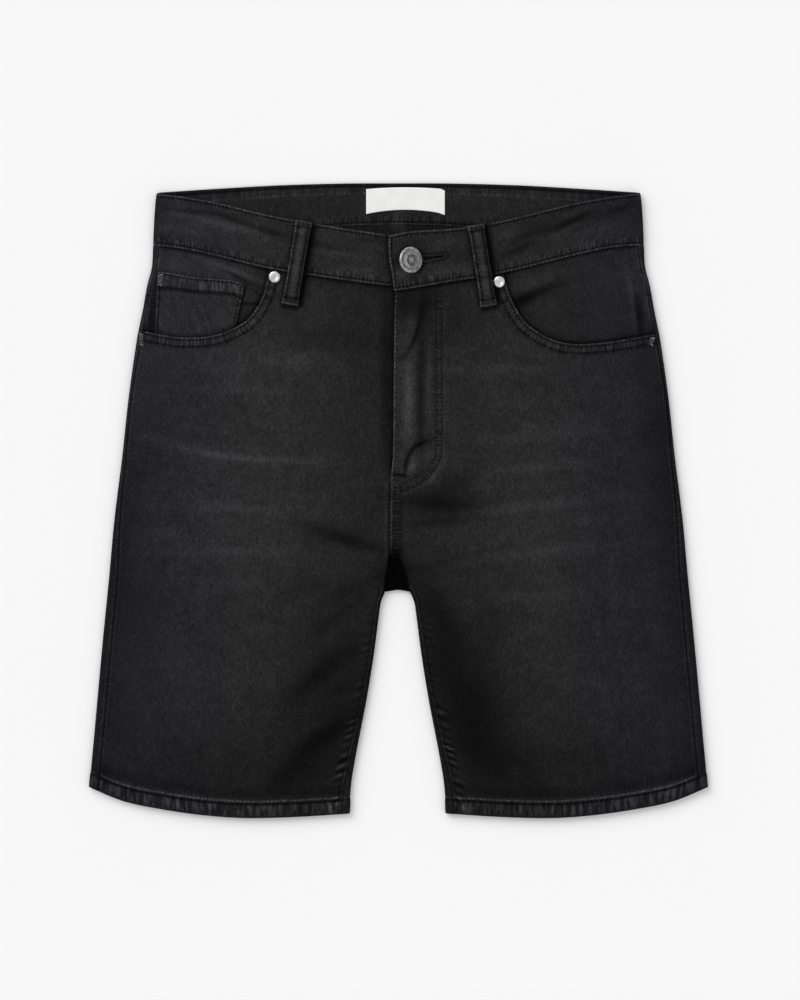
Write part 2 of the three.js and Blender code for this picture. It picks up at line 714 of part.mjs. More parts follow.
// 1 above the pocket mouth and 0 under the front panel
function insideMouth(table, s, x, y) {
  const line = mouthCurve(table).getPoints(36);
  if (s * x < s * table[0].x) return 0;
  for (let i = 0; i + 1 < line.length; i += 1) {
    const [a, b] = [line[i], line[i + 1]];
    if (s * x >= s * a.x && s * x < s * b.x) {
      return y > mix(a.y, b.y, (x - a.x) / (b.x - a.x)) ? 1 : 0;
    }
  }
  return 1;
}

const FACING_ROWS = ROWS.filter((row) => row >= FACING_ROW);
const FACING_COLUMNS = [0, 0.09, 0.2, 0.34, 0.48, 0.6, 0.7, 0.8, 0.89, 0.95, 1];
const FACING_INNER_X = { left: 76, right: 96 };

function pocketFacing(s) {
  const side = s > 0 ? "left" : "right";
  const last = FACING_ROWS.length - 1;
  const columns = FACING_COLUMNS.length - 1;
  return bent(columns, last, (u, v, w) => {
    const row = FACING_ROWS[Math.round(v * last)];
    let [x, y] = [0, row];
    for (let pass = 0; pass < 4; pass += 1) {
      const outer = sideHalf(y) - sideSeamIn(y) - GAP / 2;
      x = s * mix(FACING_INNER_X[side], outer, FACING_COLUMNS[Math.round(u * columns)]);
      y = rowY(row, x, bandLow[side](x) - GAP);
    }
    const z = frontTop(s, x, y) - facingDrop(s, x, y);
    return [x, y, w ? z : z - FACING_WALL];
  });
}

function coinPocket() {
  const [across, along] = [8, 8];
  return bent(across, along, (u, v, w) => {
    const [xl, yl, xr, yr] = COIN.bottom.map((low, i) => mix(low, COIN.top[i], v));
    const sag = COIN_SAG * Math.sin(Math.PI * u) * (1 - v);
    const [x, y] = [mix(xl, xr, u), mix(yl, yr, u) + sag];
    const z = frontTop(-1, x, y) - facingDrop(-1, x, y) + 1.5 * GAP;
    return [x, y, w ? z + COIN_WALL : z];
  });
}

// Strips hidden behind the fly
function flyStrip({ inner, outer, low, high, bottom, top }) {
  const box = new THREE.BoxGeometry(outer - inner, high - low, top - bottom);
  return outward(box.translate((inner + outer) / 2, (low + high) / 2, (bottom + top) / 2));
}

// Cloth a front belt loop lies on
function underLoop(side, x, y) {
  const s = side === "left" ? 1 : -1;
  const band = bandZ[side](x) - bandSideDrop(x);
  const edge = smooth((y - bandLow[side](x) + 3) / 3);
  return mix(frontTop(s, x, y), band, edge);
}

function frontLoop({ side, top, bottom }) {
  return bent(2, 14, (u, v, w) => {
    const ends = 1 + (FRONT_LOOP.flare / (FRONT_LOOP.wide / 2)) * Math.abs(2 * v - 1) ** 6;
    const middle = [mix(bottom[0], top[0], v), mix(bottom[1], top[1], v)];
    const long = Math.hypot(top[0] - bottom[0], top[1] - bottom[1]);
    const aim = [(top[1] - bottom[1]) / long, (bottom[0] - top[0]) / long];
    const reach = (u - 0.5) * FRONT_LOOP.wide * ends;
    const [x, y] = [middle[0] + aim[0] * reach, middle[1] + aim[1] * reach];
    const arch = FRONT_LOOP.arch * smooth(Math.sin(Math.PI * v) * 1.5);
    const z = underLoop(side, x, y) + GAP + arch;
    const crown = FRONT_LOOP.crown * (1 - (2 * u - 1) ** 2);
    return [x, y, w ? z + FRONT_LOOP.wall + crown : z];
  });
}

function backLoop(x) {
  return fromManifold(prism(backLoopPoints(x), 0, BACK_LOOP_WALL));
}

function backPocket(s) {
  return fromManifold(prism(pocketPoints(s), 0, POCKET_WALL));
}

// Shank button standing in the buttonhole, its face turned by the pull of the cloth
function button() {
  const { radius, height } = BUTTON;
  const profile = [
    [0, 0], [radius - 1.2, 0], [radius, 0.7], [radius, height - 0.8], [radius - 0.9, height],
    [radius - 2.2, height - 0.2], [radius * 0.46, height - 0.75], [radius * 0.38, height - 0.2],
    [radius * 0.3, height - 0.2], [radius * 0.24, height - 0.7], [0, height - 0.6],
  ].map((p) => new THREE.Vector2(p[0], p[1]));
  const head = new THREE.LatheGeometry(profile, 40);
  const tilt = BUTTON.tilt * DEGREE;
  const foot = UNDERLAP_Z + GAP;
  const seat = OVERLAP_Z + BUTTON.clear + radius * Math.sin(tilt);
  head.rotateX(Math.PI / 2).rotateY(tilt).translate(BUTTON.x, BUTTON.y, seat);
  const stemTop = seat + BUTTON.sunk;
  const stem = new THREE.CylinderGeometry(BUTTON.stem, BUTTON.stem, stemTop - foot, 20);
  stem.rotateX(Math.PI / 2).translate(BUTTON.x, BUTTON.y, (stemTop + foot) / 2);
  return fromManifold(toManifold(head).add(toManifold(stem)));
}

function rivet(s, { x, y }) {
  const { radius, height } = RIVET;
  const profile = [
    [0, 0], [radius, 0], [radius, 0.35], [radius - 0.5, height - 0.35], [radius - 1.3, height],
    [radius - 2.2, height - 0.25], [radius - 2.8, height - 0.6], [1.2, height - 0.5], [0, height - 0.15],
  ].map((p) => new THREE.Vector2(p[0], p[1]));
  const head = new THREE.LatheGeometry(profile, 24);
  head.rotateX(Math.PI / 2).translate(x, y, frontTop(s, x, y) + GAP);
  return outward(head);
}

function label() {
  return bent(8, 1, (u, v, w) => {
    const x = LABEL.x + (u - 0.5) * LABEL.wide;
    const arch = 1 - (2 * u - 1) ** 2;
    const y = mix(LABEL.low + LABEL.lowBow * arch, LABEL.high + LABEL.highBow * arch, v);
    return [x, y, BAND_WALL + GAP + (w ? LABEL.wall : 0)];
  });
}

const DENIM = { color: 0x2b2c30, roughness: 0.92, metalness: 0 };
const METAL = { color: 0x9a9a9e, roughness: 0.38, metalness: 1 };
const SILVER = { color: 0xc4c4c6, roughness: 0.3, metalness: 1 };
const WHITE = { color: 0xe9e9e7, roughness: 0.85, metalness: 0 };

const shorts = new THREE.Group();
function piece(name, geometry, finish) {
  const material = new THREE.MeshStandardMaterial(finish);
  const mesh = new THREE.Mesh(geometry, material);
  mesh.name = name;
  mesh.geometry.computeVertexNormals();
  shorts.add(mesh);
}

for (const [side, s, mouth] of [["left", 1, MOUTH_LEFT], ["right", -1, MOUTH_RIGHT]]) {
  const front = toManifold(frontPanel(s)).subtract(mouthPrism(mouth, s));
  piece(`front_${side}`, fromManifold(front), DENIM);
  piece(`back_${side}`, backPanel(s), DENIM);
  piece(`yoke_${side}`, yoke(s), DENIM);
  piece(`pocket_facing_${side}`, pocketFacing(s), DENIM);
  piece(`back_pocket_${side}`, backPocket(s), DENIM);
  piece(`rivet_${side}`, rivet(s, RIVETS[s > 0 ? 1 : 0]), SILVER);
}
piece("coin_pocket", coinPocket(), DENIM);
piece("waistband", waistband(), DENIM);
piece("fly_shield", flyStrip(FLY_SHIELD), DENIM);
piece("zip", flyStrip(ZIP), DENIM);
for (const loop of FRONT_LOOPS) piece(`belt_loop_front_${loop.side}`, frontLoop(loop), DENIM);
for (const [i, x] of BACK_LOOP.tops.entries()) {
  piece(`belt_loop_back_${["right", "middle", "left"][i]}`, backLoop(x), DENIM);
}
piece("button", button(), METAL);
piece("label", label(), WHITE);

export default shorts;
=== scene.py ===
import math

import bpy
import numpy as np
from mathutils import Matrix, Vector


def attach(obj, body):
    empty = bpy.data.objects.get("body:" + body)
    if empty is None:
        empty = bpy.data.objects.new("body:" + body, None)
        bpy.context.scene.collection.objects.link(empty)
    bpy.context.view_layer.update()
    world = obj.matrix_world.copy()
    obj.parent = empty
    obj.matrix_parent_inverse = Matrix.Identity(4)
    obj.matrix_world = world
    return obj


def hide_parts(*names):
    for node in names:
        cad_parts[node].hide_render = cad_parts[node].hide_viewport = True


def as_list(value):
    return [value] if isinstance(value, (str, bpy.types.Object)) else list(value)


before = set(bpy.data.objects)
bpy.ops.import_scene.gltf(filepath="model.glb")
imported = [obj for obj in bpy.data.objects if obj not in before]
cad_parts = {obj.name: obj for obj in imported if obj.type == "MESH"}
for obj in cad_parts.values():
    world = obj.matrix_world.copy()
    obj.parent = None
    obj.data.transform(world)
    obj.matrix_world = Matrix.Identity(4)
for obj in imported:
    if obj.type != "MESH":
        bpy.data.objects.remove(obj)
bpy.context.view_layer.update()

# Black five-pocket denim shorts, laid flat with the front up. Tables are in millimetres, meshes in metres.
# X runs to the wearer's left, Y to the waist, Z up from the surface the shorts lie on.
MM = 0.001


def table(columns, *rows):
    return {name: np.array(values, float) for name, values in zip(columns.split(), zip(*rows))}


# Cloth and seams
CLOTH = 1.35
GAP = 0.3
SEWN_GAP = 0.06
BAND_WALL = 2.6
HEM_WALL = 2.5
HEM_DEPTH = 12.5
FOLD_RADIUS = 2.75
LOFT = 0.6
LOFT_REACH = 60

# Waistband heights above the surface
BAND_TOP_Z = 6.8
BAND_SIDE_Z = 6.4
OVERLAP_Z = 9.0
UNDERLAP_Z = 5.9
UNDERLAP_END_X = 30

# Front fly
FLY_LIFT = 1.65

# Pockets and loops
FACING_DROP = {1: 2.1, -1: 2.85}
FACING_WALL = 1.0
FACING_BLEND = 12
COIN_WALL = 0.8
POCKET_WALL = 1.0
BACK_LOOP = {"wall": 1.0, "wide": 12.5, "high": 60, "tops": {"right": -106, "middle": 0, "left": 106}}
LOOP = {"wide": 12.4, "flare": 0.9, "wall": 1.9, "arch": 2.0, "turned": 4.4}
LOOP_ENDS = {-1: ((-75.4, 222.6), (-86.8, 155.8)), 1: ((61.8, 219.6), (72.2, 154.6))}


# Plain sizes that shares across and along a piece are measured in, and the part of the band's breadth
# that the inside of its back has
BAND_WIDE = 42
INSIDE_SHARE = 0.79
COIN_LONG = 56
COIN_WIDE = 66
LOOP_LONG = 66
LOOP_ACROSS = 12

# Metal
BUTTON = {"x": 9.4, "y": 190.8, "radius": 10.6, "height": 2.4, "tilt": 30, "stem": 3.1, "eyelet": 4.2}
BUTTONHOLE = {"end": 37.5, "wide": 4.6, "narrow": 0.9, "rise": 8.0, "bound": 1.4}
RIVET = {"radius": 4.8, "height": 1.5}
RIVET_AT = {-1: (-99.1, 178.0), 1: (80.5, 174.1)}

# Size label inside the back of the waistband
LABEL = {"x": 5.6, "wide": 63, "low": 228.6, "low_bow": 3.4, "high": 248.6, "high_bow": 1.4, "wall": 0.8}

# Side fold of the flat garment: half width, and how far the side seam lies in from it
SIDE = table("y half seam_in", (-258, 250.6, 7), (-208, 245.6, 7), (-112, 236.8, 7), (-64, 232.0, 6.6),
             (-16, 227.6, 4.6), (32, 221.6, 3), (80, 216.4, 2.2), (128, 209.6, 3.4), (152, 204.8, 3.8),
             (172, 201.2, 3.5), (186, 197.6, 4), (204, 196.6, 5.6), (236, 194.8, 5.6), (256, 192.4, 5.6))

# Inner fold of each leg: half of the gap between the legs, and how far the inseam lies in
INNER = table("y gap seam_in", (-72.4, 9.4, 1.7), (-77, 11.4, 1.7), (-82, 13.3, 1.7), (-90, 14.6, 1.8),
              (-124, 19.0, 2.0), (-160, 24.8, 2.9), (-208, 34.0, 4.5), (-232, 37.6, 6.6), (-262, 38.8, 7))
LEGS_X = -0.7
FORK_Y = -72.4
FORK_STEPS = (-72.4, -74, -77, -80, -84, -90, -100)

# Hem line, and the lower and upper edges of the waistband on each layer
HEM = table("x y", (28, -250.6), (78, -253.9), (122, -255.0), (155, -252.8), (188, -248.2), (221, -241.2),
            (252, -228.2))
BAND = {
    -1: table("x low high", (-198, 203.6, 245.0), (-174, 200.6, 242.6), (-146, 194.8, 237.6),
              (-106, 185.1, 228.1), (-68, 179.0, 221.0), (-23, 172.8, 214.0), (4, 170.4, 211.0),
              (32, 173.6, 210.8)),
    1: table("x low high", (-9, 166.0, 210.8), (9, 168.4, 214.3), (41, 174.0, 216.4), (68, 178.2, 220.1),
             (94, 183.6, 225.6), (139, 194.8, 236.6), (169, 201.2, 242.0), (198, 203.6, 245.8)),
    0: table("x low high", (0, 220.2, 253.4), (42, 218.9, 253.3), (96, 213.6, 251.8), (146, 208.3, 249.0),
             (198, 203.6, 245.6)),
}
OVERLAP_END = table("y x", (160, -3.2), (180, -5.3), (195, -7.9), (212, -8.0))

# Centre front: the lapped edge of the left front, and the edge of the right front beside or under it
CENTRE_FRONT = table("y left right", (190, -2.4, 1.5), (120, -3.6, 1.5), (48, -4.2, 1.5), (34, -4.6, -5.4),
                     (19.6, -6.0, -6.4), (-10, -6.8, -7.2), (-38, -7.0, -7.4), (-47, -6.2, -6.6),
                     (-60, -3.4, -3.8), (-72.4, -1.5, -1.9))

# Hollow where both legs turn down into the fork
FORK_HOLLOW = table("y x half", (-34, -4.4, 0), (-46.8, -3.6, 4.6), (-56.4, -2.4, 6.8), (-65, -1.8, 9),
                    (-72.4, -1.6, 10), (-80, -1.4, 11))
HOLLOW_FLOOR_Z = 3.4
HOLLOW_WALL = 2.6

# Pocket mouths, from the waistband round to the side seam
MOUTH = {
    -1: ((-103.2, 190), (-105.0, 176), (-110.2, 159), (-122.6, 142.6), (-146.4, 131.6), (-176, 129.8),
         (-212, 136.4)),
    1: ((82.6, 188), (85.2, 175), (91, 158.6), (104, 139.4), (129.2, 126.1), (160, 125.1), (210, 133)),
}

# Coin pocket: its four corners on the right facing
COIN = {"top": (-192.4, 182.0, -123.6, 170.4), "bottom": (-195.6, 121.4, -133.4, 125.6)}
COIN_RISE = table("u rise", (0, 0), (0.12, 1.0), (0.4, 0.8), (0.84, 3.2), (0.93, 2.7), (0.98, 1.2), (1, 0))

# Yoke seam and back pocket on one half of the back
YOKE = table("x y", (0, 146), (100, 152.5), (252, 157))
BACK_POCKET = ((40, 102), (170, 109), (166, -16), (102, -40), (44, -20))

# Rows of the cloth from the hem to the waistband
HEM_BLEND = 48
HEM_ROW = -254
WAIST_ROW = 186
WAIST_BLEND_ROW = 120
YOKE_ROW = 157
FACING_ROW = 112
FACING_INNER_X = {1: 76, -1: 96}
SEAT_ROW = 86
FRONT_NOMINAL = 214
SIDE_PART_X = 150

# Rounds in which a grid settles on the curved edges that its rows follow
SETTLE = 6
BAND_SETTLE = 5

# Broad folds pressed into the front while it lay
FOLDS = table("x y turn long wide high", (-39, -36, -17, 26, 9, -0.5), (26, -5, -10, 24, 9, -0.45),
              (-47, -88, 45, 24, 10, -0.45), (-58, -139, 31, 30, 11, -0.5), (-70, -203, 27, 34, 11, -0.5),
              (46, -128, -63, 62, 14, -0.5), (-128, -60, 84, 120, 40, 0.35), (126, -66, -84, 120, 40, 0.35))

# Worn creases: middle, direction, half length, half breadth, bow, height, and stops of light gained
WHISKERS = table(
    "x y turn long wide bow high stops",
    (-96, 113, -3, 56, 9.0, 1.5, 0.16, 0.36), (-144, 88, -2, 30, 4.4, 0.0, 0.16, 0.24),
    (-104, 86, -3, 40, 5.0, 1.0, 0.14, 0.2),
    (-138, 34.8, -8, 52, 3.8, 4.0, 0.34, 0.6), (-140, 34.6, -8, 46, 1.6, 3.4, 0.14, 0.3),
    (-84, 30.5, -2, 42, 4.4, 0.0, 0.18, 0.26), (-134, -6.6, -3, 50, 4.4, -0.8, 0.3, 0.5),
    (-186, -28, -2, 28, 5.0, 0.0, 0.12, 0.22), (-131, -42, -1, 58, 5.4, -1.0, 0.3, 0.44),
    (-150, -66, -3, 50, 4.4, 0.0, 0.14, 0.2),
    (98, 105, 2, 58, 5.6, 1.5, 0.18, 0.34), (118, 78, 3, 40, 4.6, 1.0, 0.14, 0.2),
    (104, 50.5, 5, 46, 4.8, 0.5, 0.26, 0.42), (110, 25.6, 5, 42, 4.0, 0.0, 0.28, 0.46),
    (108, -5, 7, 58, 4.6, -1.5, 0.32, 0.56), (106, -43, 8, 58, 4.6, -2.0, 0.3, 0.5),
    (104, -78, 5, 44, 4.4, -1.0, 0.24, 0.42), (150, -18, 4, 60, 6.0, 0.0, 0.1, 0.14),
)

# Soft troughs beside the fork, down the inner legs and at the pockets, with painted shade in each
TROUGHS = table(
    "x y turn long wide bow high stops",
    (-40, -33, -16, 26, 4.6, 0.0, -0.35, -1.4), (-60, -24, -9, 40, 6.0, 0.0, -0.2, -0.35),
    (-66, -70, 2, 26, 6.0, 0.0, -0.12, -0.35),
    (34, -4, -6, 30, 7.0, 2.0, -0.3, -1.1), (30, -52, 14, 46, 4.0, 2.0, -0.2, -0.45),
    (40, -18, 8, 34, 3.4, 0.0, -0.16, -0.4), (52, -56, 7, 40, 4.6, 0.0, -0.16, -0.3),
    (26, -18, 4, 24, 4.0, 0.0, -0.2, -0.5),
    (-38, -72, 24, 26, 5.0, 0.0, -0.25, -0.5), (-46, -92, 36, 26, 4.6, 2.0, -0.3, -0.6),
    (-62, -138, 40, 34, 8.0, -3.0, -0.4, -1.1), (-48, -152, 30, 20, 5.0, 0.0, -0.2, -0.4),
    (-62, -192, 38, 42, 7.4, -3.0, -0.45, -1.4), (-84, -222, 34, 24, 8.0, 0.0, -0.2, -0.5),
    (36, -96, -62, 34, 10.0, 0.0, -0.3, -0.8), (48, -150, -64, 60, 15.0, 6.0, -0.3, -0.85),
    (62, -196, -40, 36, 12.0, 0.0, -0.3, -0.55),
    (-50, 128, -8, 34, 12.0, 0.0, -0.2, -0.5), (44, 138, 40, 26, 12.0, 0.0, -0.2, -0.4),
    (120, 108, -6, 34, 5.0, 0.0, -0.12, -0.25),
)

# Folds of the fly and its worn streak, with painted shade in the creases and painted light on the raised
# sides of the folds
FLY_FOLDS = table(
    "x y turn long wide bow high stops",
    (7.4, 84, 90, 38, 6.5, 0.0, 0.45, 1.15), (7.6, 74, 88, 24, 2.4, 0.0, 0.2, 0.45),
    (9.0, 44, 80, 14, 6.0, 0.0, 0.2, 0.5),
    (17.6, 78, 90, 52, 2.8, 0.0, -0.7, -1.0), (24.6, 96, 90, 36, 2.2, 0.0, 0.25, 0.7),
    (13.6, 130, 70, 16, 1.7, 2.0, -0.8, -1.9), (9.0, 134, 72, 16, 3.0, 2.0, 0.25, 0.15),
    (12, 156, 0, 20, 11.0, 0.0, -0.1, -1.3), (20.5, 124, 84, 22, 4.0, 0.0, -0.2, -0.5),
    (19.4, 150, 84, 16, 2.6, 0.0, -0.25, -0.8), (12.6, 146, 88, 14, 3.6, 0.0, 0.12, 0.2),
    (24.4, 156, 80, 16, 5.0, 0.0, -0.1, -0.4),
    (1.6, 19.2, -5, 6.0, 0.9, 0.0, -0.4, -2.6),
    (5.0, 113, 4, 8, 1.2, 0.0, -0.35, -0.6), (5.4, 134, 8, 9, 1.4, 0.0, -0.25, -0.35),
    (5.4, 118, -8, 9, 1.4, 0.0, 0.2, 0.3),
    (17.6, 44.4, 26, 10, 1.4, -1.0, -0.8, -2.4), (7.4, 33.0, 68, 11, 1.5, -2.0, -0.9, -2.6),
    (16.0, 47.0, 24, 12, 3.4, 0.0, -0.2, -0.4),
    (11.6, 26.0, 60, 8, 2.8, 0.0, 0.45, 0.95), (22.0, 33.0, 40, 12, 4.0, 0.0, 0.3, 0.55),
    (0.6, 30.0, 84, 10, 3.0, 0.0, 0.2, 0.15),
)

# Washed and darker areas of the front: middle, half breadths along and across, stops. Among the darker ones
# is painted shade in the fork, in the troughs by the crotch and beside the fly's lap
WASH_AND_SHADING = table(
    "x y turn long wide stops",
    (-120, 40, 88, 150, 62, 0.42), (-122, -90, 80, 110, 56, 0.26), (98, 30, -86, 140, 52, 0.34),
    (112, -84, -80, 110, 50, 0.28), (-232, -60, 84, 240, 21, -0.85), (236, -60, -84, 240, 24, -0.92),
    (-52, -170, 70, 80, 34, -0.92), (52, -170, -66, 90, 40, -0.95), (-150, -226, 0, 130, 44, -0.62),
    (150, -226, 0, 130, 44, -0.68), (30, -4, 0, 40, 14, -0.7), (-208, 92, 86, 70, 16, 0.72),
    (-130, -90, 0, 90, 60, -0.18), (120, -90, 0, 90, 60, -0.2), (-28, 60, 88, 90, 18, -0.16),
    (-26, 150, 84, 26, 22, -0.35), (-110, 116, 0, 70, 26, 0.14), (-76, -140, 84, 60, 20, -0.16),
    (68, -140, 84, 64, 16, -0.4), (-2, -60, 88, 16, 13, -1.3), (-10, 100, 90, 60, 4.5, -0.9),
    (52, 152, -60, 26, 20, -0.2), (-196, 60, 90, 60, 16, -0.15), (206, 70, 90, 70, 16, -0.2),
    (200, 20, 80, 60, 30, -0.1), (48, 14, 32, 26, 9, -0.6),
)

# Creases of the waistband, with painted shade in the troughs and painted light on the ridges
BAND_CREASES = table(
    "x y turn long wide bow high stops",
    (-168, 230.6, -6, 26, 1.8, 0.0, -0.3, -0.5), (-126, 221.4, -19, 26, 2.0, 2.0, -0.35, -0.5),
    (-100, 212.6, -14, 12, 2.6, 0.0, -0.25, -0.4), (-150, 222, -12, 36, 3.6, 2.0, 0.3, 0.28),
    (-118, 213, -14, 22, 3.6, 0.0, 0.25, 0.25), (-172, 216, -4, 20, 4.0, 0.0, 0.2, 0.2),
    (-62, 203, -10, 20, 2.4, 0.0, -0.25, -0.35), (-50, 197, -8, 24, 3.4, 0.0, 0.25, 0.2),
    (-22, 208, 0, 14, 2.6, 0.0, 0.1, -0.35), (-30, 183, -4, 20, 3.4, 0.0, 0.15, 0.2),
    (137, 221.6, 25, 18, 2.4, 0.0, -0.5, -0.85), (128, 214, 25, 24, 3.4, 2.0, 0.3, 0.22),
    (148, 231, 18, 22, 2.6, 0.0, 0.25, 0.2), (176, 232, 18, 14, 2.2, 0.0, -0.25, -0.35),
    (96, 200, 24, 14, 2.6, 0.0, -0.3, -0.45), (104, 212, 22, 18, 3.0, 0.0, -0.2, -0.3),
    (86, 212, 14, 10, 4.0, 0.0, 0.2, 0.3), (158, 216, 14, 26, 3.4, 0.0, 0.2, 0.2),
    (34, 206, 4, 14, 3.0, 0.0, 0.2, 0.15), (44, 184, 12, 16, 3.0, 0.0, 0.2, 0.25),
    (4, 181, 8, 8, 4.0, 0.0, 0.2, 0.45), (48, 195, 0, 9, 5.0, 0.0, 0.0, -0.2),
)

# Broad tones of the band's front, lighter and darker in patches and darker at both ends by the folds, and of
# the inside of its back, with painted shade along its edges and at its ends and a lighter strip at the middle
# between two darker lines
BAND_TONES = table(
    "x y turn long wide stops",
    (-120, 216, -14, 110, 26, 0.2), (-20, 196, 0, 60, 30, 0.05), (160, 224, 14, 60, 24, -0.34),
    (132, 200, 14, 50, 9, 0.35), (146, 232, 16, 50, 8, -0.2), (190, 224, 0, 14, 30, -0.25),
    (-196, 224, 0, 8, 30, -0.2), (110, 208, 10, 30, 24, -0.1),
)
INSIDE_SHADING = table(
    "x y turn long wide stops",
    (0, 222, 0, 200, 4, -0.1), (-96, 232, 0, 60, 16, 0.05), (-196, 246, 0, 40, 12, -0.6),
    (196, 246, 0, 40, 12, -0.6), (0, 224, 0, 44, 9, -0.2), (0, 252, 0, 200, 3, -0.2),
    (1.6, 224, 90, 9, 6.0, 0.75), (-6.8, 224, 90, 9, 1.0, -0.6), (10.0, 224, 90, 9, 1.0, -0.6),
    (-80, 238, 0, 60, 20, -0.12),
)

# Creases of the hidden side, as troughs up into the flat underside, with painted shade in them
BACK_CREASES = table(
    "x y turn long wide bow high stops",
    (128, -62, -8, 50, 3.0, 2.0, 0.35, -0.3), (118, -92, -5, 44, 2.6, -2.0, 0.3, -0.25),
    (132, -122, -11, 38, 3.2, 1.0, 0.35, -0.3), (40, -66, -34, 34, 3.4, 2.0, 0.4, -0.5),
    (54, -104, -46, 32, 3.4, -2.0, 0.4, -0.45), (66, -156, -52, 36, 4.0, 2.0, 0.35, -0.4),
    (192, 60, 84, 46, 4.0, 2.0, 0.3, -0.3), (20, 40, 80, 50, 3.4, 0.0, 0.3, -0.3),
    (150, -196, -16, 52, 3.6, 3.0, 0.3, -0.25), (112, 130, 5, 42, 2.4, 1.0, 0.25, -0.25),
)

# Creases and folds of the pocket facings, with painted shade in the folds and painted light on the ridges
FACING_CREASES = table(
    "x y turn long wide bow high stops",
    (-134, 184, -20, 28, 2.2, -1.0, 0.35, 0.6), (-123, 175, -27, 15, 1.7, 0.0, -0.35, -1.3),
    (-117, 171, -31, 11, 1.7, 0.0, 0.25, 0.6), (-112, 165, -36, 8, 1.8, 0.0, -0.3, -0.6),
    (-117, 156.8, 2, 13, 1.1, 0.0, -0.3, -1.5), (-120, 148, 0, 16, 6.0, 0.0, 0.0, -0.3),
    (-160, 186, -8, 50, 9.0, 0.0, 0.0, 0.3), (-190, 186, 0, 16, 10, 0.0, 0.1, 0.2),
    (108, 164, 22, 22, 3.6, 0.0, -0.5, -1.3),
    (98, 157, 40, 9, 5.0, 0.0, -0.3, -0.9), (104, 174, 20, 26, 5.0, 0.0, 0.35, 0.35),
    (187, 160, -80, 28, 2.0, 0.0, 0.3, 0.5), (193, 146, -84, 17, 3.0, 0.0, -0.5, -1.3),
    (-197.6, 150, 86, 26, 2.6, 0.0, -0.2, -1.1), (-202, 152, 84, 26, 1.6, 0.0, 0.25, 0.5),
    (140, 150, 0, 40, 22, 0.0, 0.0, -0.1),
)

# Topstitched rows: distances in from the edge
MOUTH_ROWS = (1.9, 7.2)
BAND_ROW = 2.3
HEM_ROW_IN = 11.2
HEM_CREST = 13.4
COIN_ROWS = (1.8, 11.0)
COIN_SIDE_ROW = 1.6
POCKET_ROWS = (1.5, 6.4)
DOUBLE_ROWS = (1.8, 7.2)
FLY_BREADTH = 5.4
FLY_EDGE = 1.8

# Stitches, and the grooves they pull into the underside
STITCH_PITCH = 3.1
STITCH_LONG = 1.9
STITCH_WIDTH = {"top": 1.0, "under": 0.8}
STITCH_LIFT = 0.3
STITCH_DRIFT = (0.10, 0.06, 0.09)
STITCH_SEED = 4
TACK_WIDTH = 0.5
PALE_TACK_WIDTH = 0.6
UNDER_GROOVE = 0.6
UNDER_STITCH_Z = 0.54

# Rows and columns of the meshes set closer beside edges and sewn rows
HEM_NEAR = (5.4, 7.2, 9.2, 10.3, 10.8, 11.2, 11.6, 12.1, 12.9, 13.5, 14.2, 15.4)
DOUBLE_NEAR = (0.5, 1.0, 1.5, 1.8, 2.1, 2.7, 4.4, 6.2, 6.8, 7.2, 7.6, 8.2)
BAND_NEAR = (0.006, 0.014, 0.026, 0.04, 0.054, 0.07, 0.09)
POCKET_NEAR = (0.003, 0.008, 0.0115, 0.016, 0.03, 0.044, 0.049, 0.054)
FLY_ROWS = (
    ((30.0, 172), (30.0, 120), (30.2, 60), (29.8, 38), (28.4, 31.6), (23.6, 25.2), (16.4, 19.6), (9.2, 15.6),
     (1.0, 12.0)),
    ((34.6, 172), (34.6, 120), (34.8, 60), (34.4, 38), (32.8, 30.8), (28.4, 22.8), (21.2, 15.6), (12.4, 10.0),
     (2.4, 6.4)),
)
CENTRE_ROWS = (3.5, 8.2)
CENTRE_SEWN_Y = 12

# Bands of tone along edges: the edge, the band's middle and breadth, and stops. The darker bands are painted
# shade along the hem's edge and in its sewn groove, under the edges of the waistband and the pocket mouths,
# along the side seam, under the fly's lap and beside the end of the waistband's lap; the centre seam is
# darker along its edge and lighter beside it, and the hem's worn crest is lighter
FRONT_TONES = (("hem", 0, 1.3, -0.5), ("hem", HEM_ROW_IN, 0.9, -0.9), ("hem", HEM_CREST + 0.4, 1.7, 0.75),
               ("band", 0, 1.7, -2.4), ("band", 3, 4, -0.3), ("side", 0.2, 0.8, -1.5))
FACING_TONES = (("mouth", 0, 2.4, -1.9), ("mouth", 0, 8, -0.35), ("band", 0, 1.8, -2.2))
UNDER_LAP_TONES = (("lap", 0.6, 2.2, -1.5), ("lap", 3, 7, -0.55))
CENTRE_SEAM_TONES = (("lap", 0, 1.3, -1.4), ("lap", 3.4, 1.6, 0.5))
BAND_LAP_TONES = (("lap", 0.4, 1.8, -1.6), ("lap", 3, 4, -0.4))


def mix(a, b, k):
    return a + (b - a) * k


def smooth(k):
    k = np.clip(k, 0.0, 1.0)
    return k * k * (3 - 2 * k)


def reader(rows, across, read):
    """Smooth line through one column of a table, read at values of another column."""
    order = np.argsort(rows[across])
    x, y = rows[across][order], rows[read][order]
    i = np.arange(len(x))
    before, after = np.maximum(i - 1, 0), np.minimum(i + 1, len(x) - 1)
    slope = (y[after] - y[before]) / (x[after] - x[before])

    def read_at(at):
        at = np.clip(at, x[0], x[-1])
        i = np.clip(np.searchsorted(x, at, side="right") - 1, 0, len(x) - 2)
        step = x[i + 1] - x[i]
        k = (at - x[i]) / step
        start = (2 * k**3 - 3 * k**2 + 1) * y[i] + (k**3 - 2 * k**2 + k) * step * slope[i]
        return start + (3 * k**2 - 2 * k**3) * y[i + 1] + (k**3 - k**2) * step * slope[i + 1]

    return read_at


